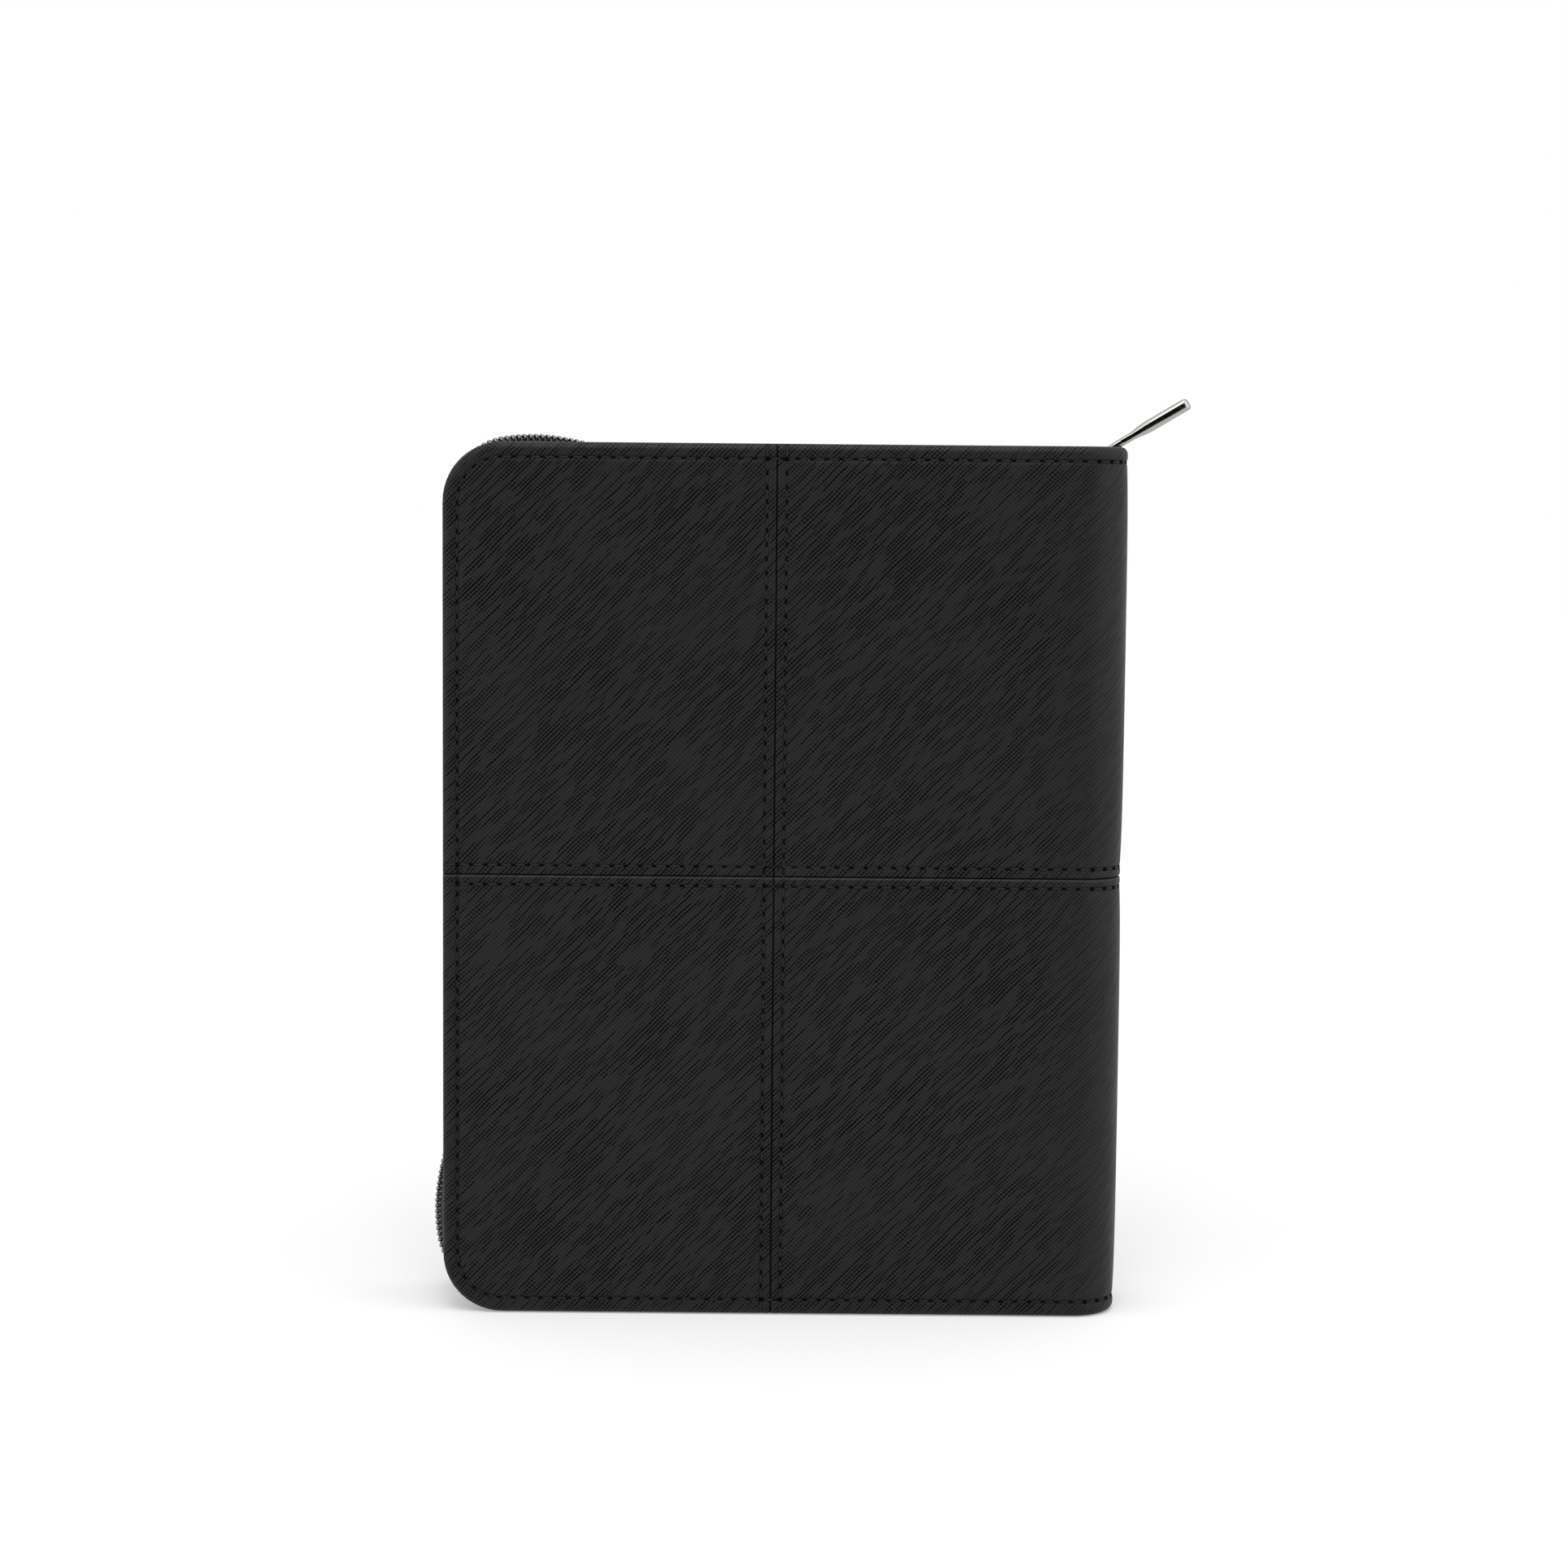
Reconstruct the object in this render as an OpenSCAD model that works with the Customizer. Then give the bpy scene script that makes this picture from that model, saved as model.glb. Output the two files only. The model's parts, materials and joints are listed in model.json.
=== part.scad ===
// Zip-round ring planner, closed and standing on its tail.
// Origin at the foot of the spine, in the middle of its leather, +Z up, spine toward +X,
// back cover toward -Y. Sizes in mm.

/* [Case] */
// Width over spine and fore-edge
case_w = 182; // [170:1:220]
// Height of the covers
case_h = 234; // [226:1:280]
// Thickness over both covers
case_t = 36; // [35:0.5:46]
// Radius of the fore-edge corners of a cover
corner_r = 16; // [10:0.5:22]
// Radius of the two long spine edges
spine_r = 12; // [11:0.5:14]
// Roll of the turned cover edge
roll_r = 1.6; // [1.4:0.1:1.9]

/* [Cover layers] */
// Leather skin
skin_t = 1.2; // [1:0.05:1.3]
// Stiff board
board_t = 1.8; // [1.4:0.1:2.2]
// Fabric lining
lining_t = 0.8; // [0.5:0.1:1]
// Upright seam, from the middle of the case
seam_x = -2.5; // [-20:0.5:20]
// Cross seam, above the middle of the case
seam_rise = 2; // [-20:0.5:20]
// Slit between two leather panels
panel_gap = 0.3; // [0.2:0.05:0.5]
// Slack between a layer and the turned edge round it
layer_slack = 0.2; // [0.1:0.05:0.4]

/* [Zip] */
// Zip below the head edge and above the tail edge
zip_drop = 4.2; // [4.1:0.1:6]
// Zip inside the fore-edge
zip_inset = 2.5; // [2:0.1:5]
// Radius of the zip round a corner
zip_r = 13; // [10:0.5:18]
// Woven tape
tape_t = 0.7; // [0.5:0.05:0.8]
// Half the gap between the two tapes
tape_gap = 2.2; // [2.1:0.05:2.5]
// Sewn strip of a tape on the lining
tape_hem = 7; // [4:0.5:8]
// Tape end, in from the spine
tape_end = 7; // [5:0.5:12]
// Last tooth, in from the spine
tooth_end = 16; // [15.8:0.2:24]
// Aimed pitch of the teeth
tooth_pitch = 3.2; // [2.8:0.1:4.5]
// Middle width of a tooth
tooth_w = 1.1; // [0.8:0.05:1.2]
// Taper of a tooth, root over tip
tooth_taper = 0.3; // [0.1:0.05:0.4]
// Thickness of the teeth
tooth_t = 2; // [1.6:0.05:2.05]
// Tooth past the middle
tooth_past = 0.9; // [0.6:0.05:1]
// Cord that carries the teeth
cord_w = 1; // [0.7:0.05:1.1]

/* [Slider] */
// Middle of the slider, in from the spine
slider_in = 9.8; // [9.7:0.1:14]
// Half length of the slider
slider_half = 6.3; // [5.8:0.1:6.4]
// Half width at the tail
slider_tail = 4.4; // [4.2:0.1:4.8]
// Half width at the shoulders
slider_head = 5.6; // [5:0.1:6.4]
// Plate thickness
slider_plate = 1; // [0.8:0.05:1.1]
// Height of the channel
channel_h = 2.4; // [2.3:0.05:2.6]
// Half width of the channel
channel_w = 3.4; // [3.2:0.05:3.6]
// Slot between the lips for the tape
lip_gap = 1.35; // [1.2:0.05:1.5]
// Half width of the wedge
wedge_w = 1.7; // [1.3:0.05:1.8]
// Height of the crown
crown_h = 2.3; // [2.2:0.05:2.6]
// Width of the crown
crown_w = 2.4; // [2:0.1:2.6]
// Bar of the crown
crown_bar = 0.6; // [0.5:0.05:0.7]

/* [Pull] */
// Pull length, pin to tip
pull_l = 25.8; // [20:0.1:34]
// Pull width
pull_w = 7; // [5.5:0.1:9]
// Body thickness
pull_t = 3.2; // [2.4:0.1:3.6]
// Stem thickness
stem_t = 1.6; // [1.2:0.05:1.8]
// Stem length
stem_l = 8.6; // [7.5:0.1:11]
// Arm width
arm_w = 1.2; // [0.9:0.05:1.6]
// Pin diameter
pin_d = 1.1; // [0.9:0.05:1.15]
// Play of the pin and arms
pin_play = 0.3; // [0.3:0.05:0.4]
// Lean of the pull above level
pull_lean = 31; // [31:1:60]

/* [Ring mechanism] */
// Radius of the rings, middle of the wire
ring_r = 10.5; // [9.5:0.1:11]
// Ring wire
wire_d = 2.4; // [2:0.05:2.6]
// Pitch within a group of three
ring_pitch = 19; // [17:0.5:20]
// Gap between the two groups
ring_span = 70; // [60:1:80]
// Ring end, round from the tips
ring_sweep = 125; // [118:1:128]
// Slit between the ring tips
tip_gap = 0.3; // [0.2:0.05:0.5]
// Ring middle, above the base crown
ring_rise = 10.2; // [9.5:0.1:11]
// Base width
base_w = 16; // [15:0.25:18]
// Base height
base_h = 5.5; // [5:0.1:6]
// Base sheet
base_t = 0.8; // [0.6:0.05:1]
// Base shoulders
base_r = 3; // [2:0.1:3.5]
// Base length
base_l = 196; // [190:1:200]
// Hinge plate sheet
leaf_t = 0.8; // [0.6:0.05:1]
// Hinge plate length
leaf_l = 176; // [170:1:178]
// Slit between the hinge plates, and play at their outer edges
leaf_play = 0.5; // [0.3:0.05:0.6]
// Hinge plates above the lining
leaf_rise = 0.8; // [0.6:0.05:1.2]
// Play of a ring in its slot
slot_play = 1.2; // [1:0.1:1.6]
// Rivet shank
rivet_d = 3.6; // [3:0.1:4]
// Rivet head
rivet_head = 7; // [6:0.1:8]
// Rivet pitch
rivet_span = 168; // [164:1:170]
// Lever pins apart
lever_span = 190; // [188:1:192]
// Lever pin
lever_d = 2; // [1.6:0.1:2.2]
// Lever pin above the lining
lever_rise = 2.2; // [2:0.1:2.4]
// Play of the lever pin in its holes
lever_play = 0.7; // [0.6:0.05:0.8]
// Lever width
lever_w = 9; // [7:0.1:9.4]
// Lever length beyond its pin
lever_l = 11; // [9:0.1:11.4]

/* [Sheets] */
// Sheet width
sheet_w = 148; // [130:1:148]
// Sheet height
sheet_h = 210; // [190:1:212]
// Thickness of each half of the stack
stack_t = 5.5; // [3:0.1:5.6]
// Slit between the halves of the stack
stack_gap = 0.6; // [0.4:0.05:1]
// Punched hole
hole_d = 6.2; // [6:0.05:6.6]
// Hole middle, in from the sheet edge
hole_in = 5; // [4.6:0.1:6]
// Index sheet
index_t = 0.4; // [0.3:0.05:0.6]
// Index tabs short of the zip teeth
tab_clear = 1.4; // [1.2:0.1:3]
// Index tab height
tab_h = 32; // [20:1:36]
// Gap between index tabs
tab_step = 8; // [4:1:12]

/* [Pockets] */
// Pocket leather
pocket_t = 0.8; // [0.5:0.05:1]
// Pocket corner radius
pocket_r = 4; // [2:0.5:8]
// Sleeve width
sleeve_w = 116; // [90:1:118]
// Sleeve height on the back cover
sleeve_h = 150; // [100:1:170]
// Sleeve height on the front cover
front_sleeve_h = 104; // [80:1:106]
// Card slot width
card_w = 98; // [92:1:104]
// Tallest card slot
card_h = 72; // [62:1:76]
// Step between card slots
card_step = 18; // [14:1:19]
// Card slots above the front sleeve
slot_gap = 8; // [4:1:12]
// Pockets and pen loop clear of the tape
pocket_gap = 1; // [0.5:0.5:2]
// Sleeves beyond the pen loop
sleeve_gap = 5; // [3:0.5:8]
// Pen loop, inside across the cover
loop_w = 10; // [8:0.1:11]
// Pen loop, inside off the cover
loop_d = 5.2; // [4.4:0.1:5.4]
// Elastic band
band_t = 1; // [0.8:0.05:1.1]
// Pen loop height
loop_h = 20; // [14:1:30]

/* [Hidden] */
$fn = 36;
wire_fn = 16;
arc_fn = 40;
xs = skin_t / 2;
xf = xs - case_w;
seam_at = (xs + xf) / 2 + seam_x;
yo = case_t / 2;
cover_t = skin_t + board_t + lining_t;
yi = yo - cover_t;
x_edge = xs - spine_r;
flat_y = yo - spine_r;
mid_z = case_h / 2;
seam_z = mid_z + seam_rise;
slit = panel_gap / sqrt(2);
zip_cx = zip_inset + zip_r + xf;
zip_top = case_h - zip_drop;
zip_run = xs - tooth_end - zip_cx;
zip_rise = case_h - 2 * (zip_drop + zip_r);
run_n = floor(zip_run / tooth_pitch);
rise_n = floor(zip_rise / tooth_pitch);
bend_n = floor(zip_r * PI / 2 / tooth_pitch);
cord_y = tape_gap - cord_w;
slider_x = xs - slider_in;
plate_z = channel_h / 2;
crown_z = plate_z + slider_plate;
pin_x = slider_half - 1.8;
pin_z = crown_z + pin_play + pin_d / 2;
arm_y = crown_w / 2 + pin_play;
arm_end = 4.2;
base_x = xs - cover_t;
crown_x = base_x - base_h;
ring_x = crown_x - ring_rise;
ring_zs = [for (s = [-1, 1]) for (i = [0:2]) mid_z + s * (ring_span / 2 + i * ring_pitch)];
leaf_y = base_w / 2 - base_t - leaf_play;
leaf_x = base_x - leaf_rise - leaf_t;
leg_l = (leaf_x + leaf_t / 2 - ring_x + ring_r * cos(ring_sweep)) / sin(ring_sweep);
tip_turn = tip_gap / 2 / ring_r * 180 / PI;
sheet_y = stack_gap / 2;
sheet_z = mid_z - sheet_h / 2;
leaf_block = (stack_t - 2 * index_t) / 3;
tab_x = xf + zip_inset + tooth_t / 2 + tab_clear;
loop_x = xf + zip_inset + tape_hem + pocket_gap;
sleeve_x = loop_x + loop_w + 2 * band_t + sleeve_gap;
pocket_z = zip_drop + tape_hem + pocket_gap;

// Sheet of thickness t from y = y0 toward +Y, drawn in X and Z
module slab(y0, t) {
    translate([0, y0 + t, 0])
        rotate([90, 0, 0])
            linear_extrude(t)
                children();
}

// Cover outline in X and Z, drawn in from the edge
module outline(inset, x_end) {
    cx = corner_r + xf;
    translate([cx, inset])
        square([x_end - cx, case_h - 2 * inset]);
    translate([inset + xf, corner_r])
        square([corner_r - inset, case_h - 2 * corner_r]);
    for (z = [corner_r, case_h - corner_r])
        translate([cx, z])
            circle(corner_r - inset);
}

// Carries a profile round head, fore-edge and tail, with its x outward and its y along Y
module round_edge(drop, inset, r, x_end) {
    cx = inset + r + xf;
    low = drop + r;
    top = case_h - low;
    translate([x_end, 0, case_h - drop])
        rotate([0, -90, 0])
            linear_extrude(x_end - cx)
                children();
    translate([cx, 0, top])
        rotate([-90, 0, 0])
            rotate([0, 0, 180])
                rotate_extrude(angle = 90)
                    translate([r, 0])
                        children();
    translate([inset + xf, 0, top])
        rotate([0, 180, 0])
            linear_extrude(top - low)
                children();
    translate([cx, 0, low])
        rotate([-90, 0, 0])
            rotate([0, 0, 90])
                rotate_extrude(angle = 90)
                    translate([r, 0])
                        children();
    translate([cx, 0, drop])
        rotate([0, 90, 0])
            linear_extrude(x_end - cx)
                children();
}

// Turned edge of the back cover's skin
module turned_edge() {
    inner = roll_r - skin_t;
    translate([-roll_r, -yo])
        difference() {
            intersection() {
                union() {
                    translate([0, roll_r])
                        circle(roll_r);
                    translate([0, roll_r])
                        square([roll_r, cover_t - roll_r]);
                }
                square([roll_r, cover_t]);
            }
            translate([0, roll_r])
                circle(inner);
            translate([0, roll_r])
                square([inner, cover_t]);
        }
}

// Leather that bends from the back cover toward the spine
module fold() {
    translate([x_edge, -flat_y])
        intersection() {
            difference() {
                circle(spine_r);
                circle(spine_r - skin_t);
            }
            polygon([[0, -slit], [0, -3 * spine_r], [3 * spine_r - slit, -3 * spine_r]]);
        }
}

module cover_skin() {
    slab(-yo, skin_t)
        outline(roll_r, x_edge);
    round_edge(0, 0, corner_r, x_edge)
        turned_edge();
    linear_extrude(case_h)
        fold();
}

// One leather panel of the back cover, outer toward the fore-edge
module panel(outer, upper) {
    h = panel_gap / 2;
    x0 = outer ? xf - 1 : seam_at + h;
    x1 = outer ? seam_at - h : xs + 1;
    z0 = upper ? seam_z + h : -1;
    z1 = upper ? case_h + 1 : seam_z - h;
    intersection() {
        cover_skin();
        translate([x0, -2 * yo, z0])
            cube([x1 - x0, 2 * yo, z1 - z0]);
    }
}

module cover_board() {
    slab(skin_t - yo, board_t)
        outline(roll_r, x_edge - layer_slack);
}

module cover_lining() {
    slab(-yi - lining_t, lining_t)
        outline(skin_t + layer_slack, x_edge - layer_slack);
}

module tape() {
    round_edge(zip_drop, zip_inset, zip_r, xs - tape_end)
        translate([-tape_t / 2, -yi])
            square([tape_t, yi - tape_gap]);
    round_edge(zip_drop, zip_inset, zip_r, x_edge - layer_slack)
        translate([-tape_hem, -yi])
            square([tape_hem, tape_t]);
}

// One tooth about s = 0, root toward -Y
module tooth() {
    a = (tooth_w + tooth_taper) / 2;
    b = (tooth_w - tooth_taper) / 2;
    polygon([[-a, -cord_y], [-b, tooth_past], [b, tooth_past], [a, -cord_y]]);
}

// A straight run of n teeth over a length
module comb(length, n, phase) {
    p = length / n;
    a = (tooth_w + tooth_taper) / 2;
    b = (tooth_w - tooth_taper) / 2;
    teeth = [
        for (i = [0:n - 1])
            let (s = (i + phase) * p)
                each [[s - a, -cord_y], [s - b, tooth_past], [s + b, tooth_past], [s + a, -cord_y]]
    ];
    linear_extrude(tooth_t, center = true)
        polygon(concat([[0, -cord_y]], teeth, [[length, -cord_y], [length, -tape_gap], [0, -tape_gap]]));
}

// Cord and teeth round one corner, turned by the given angle
module bend(z, turn, phase) {
    translate([zip_cx, 0, z])
        rotate([0, turn, 0]) {
            rotate([-90, 0, 0])
                rotate([0, 0, 180])
                    rotate_extrude(angle = 90)
                        translate([zip_r - tooth_t / 2, -tape_gap])
                            square([tooth_t, cord_w]);
            for (i = [0:bend_n - 1])
                rotate([0, -(i + phase) * 90 / bend_n, 0])
                    translate([0, 0, zip_r])
                        linear_extrude(tooth_t, center = true)
                            tooth();
        }
}

module teeth(phase) {
    for (z = [zip_drop, zip_top])
        translate([zip_cx, 0, z])
            comb(zip_run, run_n, phase);
    translate([zip_inset + xf, 0, zip_drop + zip_r])
        rotate([0, -90, 0])
            comb(zip_rise, rise_n, phase);
    bend(zip_top - zip_r, 0, 1 - phase);
    bend(zip_drop + zip_r, -90, 1 - phase);
}

module spine_skin(z0, z1) {
    far = 3 * spine_r;
    translate([0, 0, z0])
        linear_extrude(z1 - z0)
            intersection() {
                difference() {
                    union() {
                        translate([x_edge, -flat_y])
                            square([spine_r, 2 * flat_y]);
                        for (y = [-flat_y, flat_y])
                            translate([x_edge, y])
                                circle(spine_r);
                    }
                    translate([x_edge - spine_r, -flat_y])
                        square([2 * spine_r - skin_t, 2 * flat_y]);
                    for (y = [-flat_y, flat_y])
                        translate([x_edge, y])
                            circle(spine_r - skin_t);
                }
                polygon([
                    [x_edge + slit, -flat_y], [x_edge + slit + far, -flat_y - far],
                    [x_edge + slit + far, flat_y + far], [x_edge + slit, flat_y]
                ]);
            }
}

// Round bar along X at the two rivet places
module rivet_bars(x0, x1, d) {
    for (s = [-1, 1])
        translate([x0, 0, mid_z + s * rivet_span / 2])
            rotate([0, 90, 0])
                cylinder(h = x1 - x0, d = d);
}

module spine_board() {
    color("#8a7a62")
        difference() {
            translate([xs - skin_t - board_t, -flat_y, skin_t])
                cube([board_t, 2 * flat_y, case_h - 2 * skin_t]);
            rivet_bars(base_x - 1, xs, rivet_d + layer_slack);
        }
}

module spine_lining() {
    trim = 2 * zip_drop;
    color("#26262a")
        difference() {
            translate([base_x, -base_w / 2 - 0.5, trim])
                cube([lining_t, base_w + 1, case_h - 2 * trim]);
            rivet_bars(base_x - 1, xs, rivet_d + layer_slack);
        }
}

// Base section in X and Y, drawn in from its outside
module base_section(inset) {
    r = base_r - inset;
    half = base_w / 2 - base_r;
    translate([crown_x + inset, -half])
        square([base_h, 2 * half]);
    translate([crown_x + base_r, -base_w / 2 + inset])
        square([base_h - base_r + inset, base_w - 2 * inset]);
    for (y = [-half, half])
        translate([crown_x + base_r, y])
            circle(r);
}

module ring_base() {
    slot = wire_d + slot_play;
    end_l = (base_l - leaf_l) / 2;
    color("#c9ccd0")
        difference() {
            translate([0, 0, mid_z - base_l / 2])
                linear_extrude(base_l)
                    intersection() {
                        difference() {
                            base_section(0);
                            base_section(base_t);
                        }
                        translate([crown_x - 1, -base_w])
                            square([base_h + 1, 2 * base_w]);
                    }
            for (z = ring_zs, s = [0, 1])
                mirror([0, s, 0])
                    translate([crown_x - 1, 1.8, z - slot / 2])
                        cube([4.6, base_w, slot]);
            for (s = [0, 1])
                translate([0, 0, mid_z])
                    mirror([0, 0, s])
                        translate([crown_x - 1, -lever_w / 2 - 0.5, leaf_l / 2 + 1])
                            cube([4, lever_w + 1, end_l]);
            for (s = [-1, 1])
                translate([base_x - lever_rise, 0, mid_z + s * lever_span / 2])
                    rotate([90, 0, 0])
                        cylinder(h = 2 * base_w, d = lever_d + lever_play, center = true);
            rivet_bars(crown_x - 1, base_x, rivet_d + layer_slack);
        }
}

module ring_rivets() {
    color("#d5d7da") {
        rivet_bars(crown_x, xs - skin_t - 0.1, rivet_d);
        rivet_bars(crown_x - 1, crown_x, rivet_head);
    }
}

// Hinge plate of the back rings
module leaf() {
    difference() {
        translate([leaf_x, -leaf_y, mid_z - leaf_l / 2])
            cube([leaf_t, leaf_y - leaf_play / 2, leaf_l]);
        rivet_bars(leaf_x - 1, base_x, rivet_d + 2);
    }
}

// Back halves of the six rings
module rings() {
    turn = ring_sweep - tip_turn;
    for (z = ring_zs)
        translate([ring_x, 0, z]) {
            rotate([0, 0, 180 + tip_turn])
                rotate_extrude(angle = turn, $fn = arc_fn)
                    translate([ring_r, 0])
                        circle(d = wire_d, $fn = wire_fn);
            rotate([0, 0, 180 + ring_sweep])
                translate([ring_r, 0, 0])
                    rotate([-90, 0, 0])
                        cylinder(h = leg_l, d = wire_d, $fn = wire_fn);
        }
}

// Lever at the head end
module lever() {
    color("#b9bcc1")
        translate([base_x - lever_rise, 0, mid_z + lever_span / 2])
            rotate([90, 0, 0]) {
                linear_extrude(lever_w, center = true)
                    union() {
                        circle(1.4);
                        polygon([
                            [-1.4, 0], [-1.5, lever_l - 4.5], [-4, lever_l - 0.6], [-2.9, lever_l],
                            [-0.4, lever_l - 4.2], [1.4, 0]
                        ]);
                    }
                cylinder(h = base_w - 0.6, d = lever_d, center = true);
            }
}

// X of the punched edge of a sheet at a distance y from the middle
function sheet_edge(y) = ring_x - sqrt(ring_r * ring_r - y * y) + hole_in;

// Block of sheets between two distances from the middle, on the back side
module sheets(y0, y1) {
    ys = [y0, (y0 + y1) / 2, y1];
    translate([0, 0, sheet_z])
        linear_extrude(sheet_h)
            polygon(concat(
                [for (y = ys) [sheet_edge(y), -y]],
                [for (i = [2:-1:0]) [sheet_edge(ys[i]) - sheet_w, -ys[i]]]
            ));
}

// Bent tunnels of the punched holes, on the back side
module tunnels() {
    reach = asin((sheet_y + stack_t) / ring_r) + 30;
    for (z = ring_zs)
        translate([ring_x, 0, z])
            rotate([0, 0, 165])
                rotate_extrude(angle = reach, $fn = 24)
                    translate([ring_r, 0])
                        circle(d = hole_d, $fn = wire_fn);
}

// Sheets of the back half, in three blocks
module sheet_stack() {
    color("#f1eee4")
        difference() {
            for (i = [0:2])
                let (y = sheet_y + i * (leaf_block + index_t))
                    sheets(y, y + leaf_block);
            tunnels();
        }
}

// Two index sheets of the back half, with tabs at two heights
module index_pair(first) {
    color("#d8b98a")
        difference() {
            for (i = [0, 1])
                let (y = sheet_y + leaf_block + i * (leaf_block + index_t), e = sheet_edge(y) - sheet_w) {
                    slab(-y - index_t, index_t)
                        union() {
                            translate([e, sheet_z])
                                square([sheet_w, sheet_h]);
                            translate([tab_x, sheet_z + sheet_h - (first + i + 1) * (tab_h + tab_step)])
                                square([e - tab_x + index_t, tab_h]);
                        }
                }
            tunnels();
        }
}

// Rounded panel in X and Z
module pocket_shape(w, h) {
    translate([pocket_r, 0])
        square([w - 2 * pocket_r, h]);
    translate([0, pocket_r])
        square([w, h - 2 * pocket_r]);
    for (x = [pocket_r, w - pocket_r], z = [pocket_r, h - pocket_r])
        translate([x, z])
            circle(pocket_r);
}

module spine_skin_upper() {
    color("#232323")
        spine_skin(seam_z + panel_gap / 2, case_h);
}

module spine_skin_lower() {
    color("#232323")
        spine_skin(0, seam_z - panel_gap / 2);
}

module leaf_back() {
    color("#b4b7bc")
        leaf();
}

module leaf_front() {
    color("#b4b7bc")
        mirror([0, 1, 0])
            leaf();
}

module rings_back() {
    color("#d9dbde")
        rings();
}

module rings_front() {
    color("#d9dbde")
        mirror([0, 1, 0])
            rings();
}

module lever_top() {
    lever();
}

module lever_bottom() {
    translate([0, 0, mid_z])
        mirror([0, 0, 1])
            translate([0, 0, -mid_z])
                lever();
}

module sheets_back() {
    sheet_stack();
}

module sheets_front() {
    mirror([0, 1, 0])
        sheet_stack();
}

module index_back() {
    index_pair(2);
}

module index_front() {
    mirror([0, 1, 0])
        index_pair(0);
}

module back_upper_outer() {
    color("#242424")
        panel(true, true);
}

module back_upper_inner() {
    color("#242424")
        panel(false, true);
}

module back_lower_outer() {
    color("#242424")
        panel(true, false);
}

module back_lower_inner() {
    color("#242424")
        panel(false, false);
}

module back_board() {
    color("#8a7a62")
        cover_board();
}

module back_lining() {
    color("#2b2b30")
        cover_lining();
}

module back_tape() {
    color("#17171a")
        tape();
}

module back_teeth() {
    color("#0f0f10")
        teeth(0.25);
}

module back_sleeve() {
    color("#202022")
        slab(-yi, pocket_t)
            translate([sleeve_x, pocket_z])
                pocket_shape(sleeve_w, sleeve_h);
}

// Flat-sided elastic loop on the back lining
module pen_loop() {
    r = loop_d / 2;
    far = r + band_t;
    x0 = loop_x + far;
    run = loop_w - loop_d;
    color("#1b1b1d")
        translate([x0, far - yi, mid_z - loop_h / 2])
            linear_extrude(loop_h)
                difference() {
                    union() {
                        translate([0, -far])
                            square([run, 2 * far]);
                        for (x = [0, run])
                            translate([x, 0])
                                circle(far);
                    }
                    translate([0, -r])
                        square([run, loop_d]);
                    for (x = [0, run])
                        translate([x, 0])
                            circle(r);
                }
}

module front_upper_outer() {
    color("#242424")
        mirror([0, 1, 0])
            panel(true, true);
}

module front_upper_inner() {
    color("#242424")
        mirror([0, 1, 0])
            panel(false, true);
}

module front_lower_outer() {
    color("#242424")
        mirror([0, 1, 0])
            panel(true, false);
}

module front_lower_inner() {
    color("#242424")
        mirror([0, 1, 0])
            panel(false, false);
}

module front_board() {
    color("#8a7a62")
        mirror([0, 1, 0])
            cover_board();
}

module front_lining() {
    color("#2b2b30")
        mirror([0, 1, 0])
            cover_lining();
}

module front_tape() {
    color("#17171a")
        mirror([0, 1, 0])
            tape();
}

module front_teeth() {
    color("#0f0f10")
        mirror([0, 1, 0])
            teeth(0.75);
}

module front_sleeve() {
    color("#202022")
        slab(yi - pocket_t, pocket_t)
            translate([sleeve_x, pocket_z])
                pocket_shape(sleeve_w, front_sleeve_h);
}

// Card slot number i, counted from the lining inward
module card_slot(i) {
    color("#242426")
        slab(yi - (i + 1) * pocket_t, pocket_t)
            translate([sleeve_x + (sleeve_w - card_w) / 2, pocket_z + front_sleeve_h + slot_gap])
                pocket_shape(card_w, card_h - i * card_step);
}

module card_slot_tall() {
    card_slot(0);
}

module card_slot_middle() {
    card_slot(1);
}

module card_slot_short() {
    card_slot(2);
}

module slider_body() {
    h = slider_half;
    lip_t = (channel_h - lip_gap) / 2;
    color("#c4c6ca")
        translate([slider_x, 0, zip_top]) {
            for (s = [0, 1])
                mirror([0, 0, s]) {
                    translate([0, 0, plate_z])
                        linear_extrude(slider_plate)
                            polygon([
                                [-h, -slider_tail + 0.8], [-h + 0.8, -slider_tail], [0, -slider_tail],
                                [3, -slider_head], [h - 1.2, -slider_head], [h, -slider_head + 1.6],
                                [h, slider_head - 1.6], [h - 1.2, slider_head], [3, slider_head],
                                [0, slider_tail], [-h + 0.8, slider_tail], [-h, slider_tail - 0.8]
                            ]);
                    for (t = [0, 1])
                        mirror([0, t, 0])
                            translate([-h + 0.8, channel_w, plate_z - lip_t])
                                cube([2 * h - 2.2, slider_tail - channel_w, lip_t]);
                }
            translate([0, 0, -plate_z])
                linear_extrude(channel_h)
                    polygon([[0.6, 0], [4, -wedge_w], [h, -wedge_w / 2], [h, wedge_w / 2], [4, wedge_w]]);
            rotate([90, 0, 0])
                linear_extrude(crown_w, center = true)
                    difference() {
                        union() {
                            translate([-4, crown_z])
                                square([h + 4, crown_h - 1]);
                            translate([-3, crown_z])
                                square([h + 2, crown_h]);
                            for (x = [-3, h - 1])
                                translate([x, crown_z + crown_h - 1])
                                    circle(1);
                        }
                        translate([-3.1, crown_z])
                            square([h + 2.2, crown_h - crown_bar]);
                    }
        }
}

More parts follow.
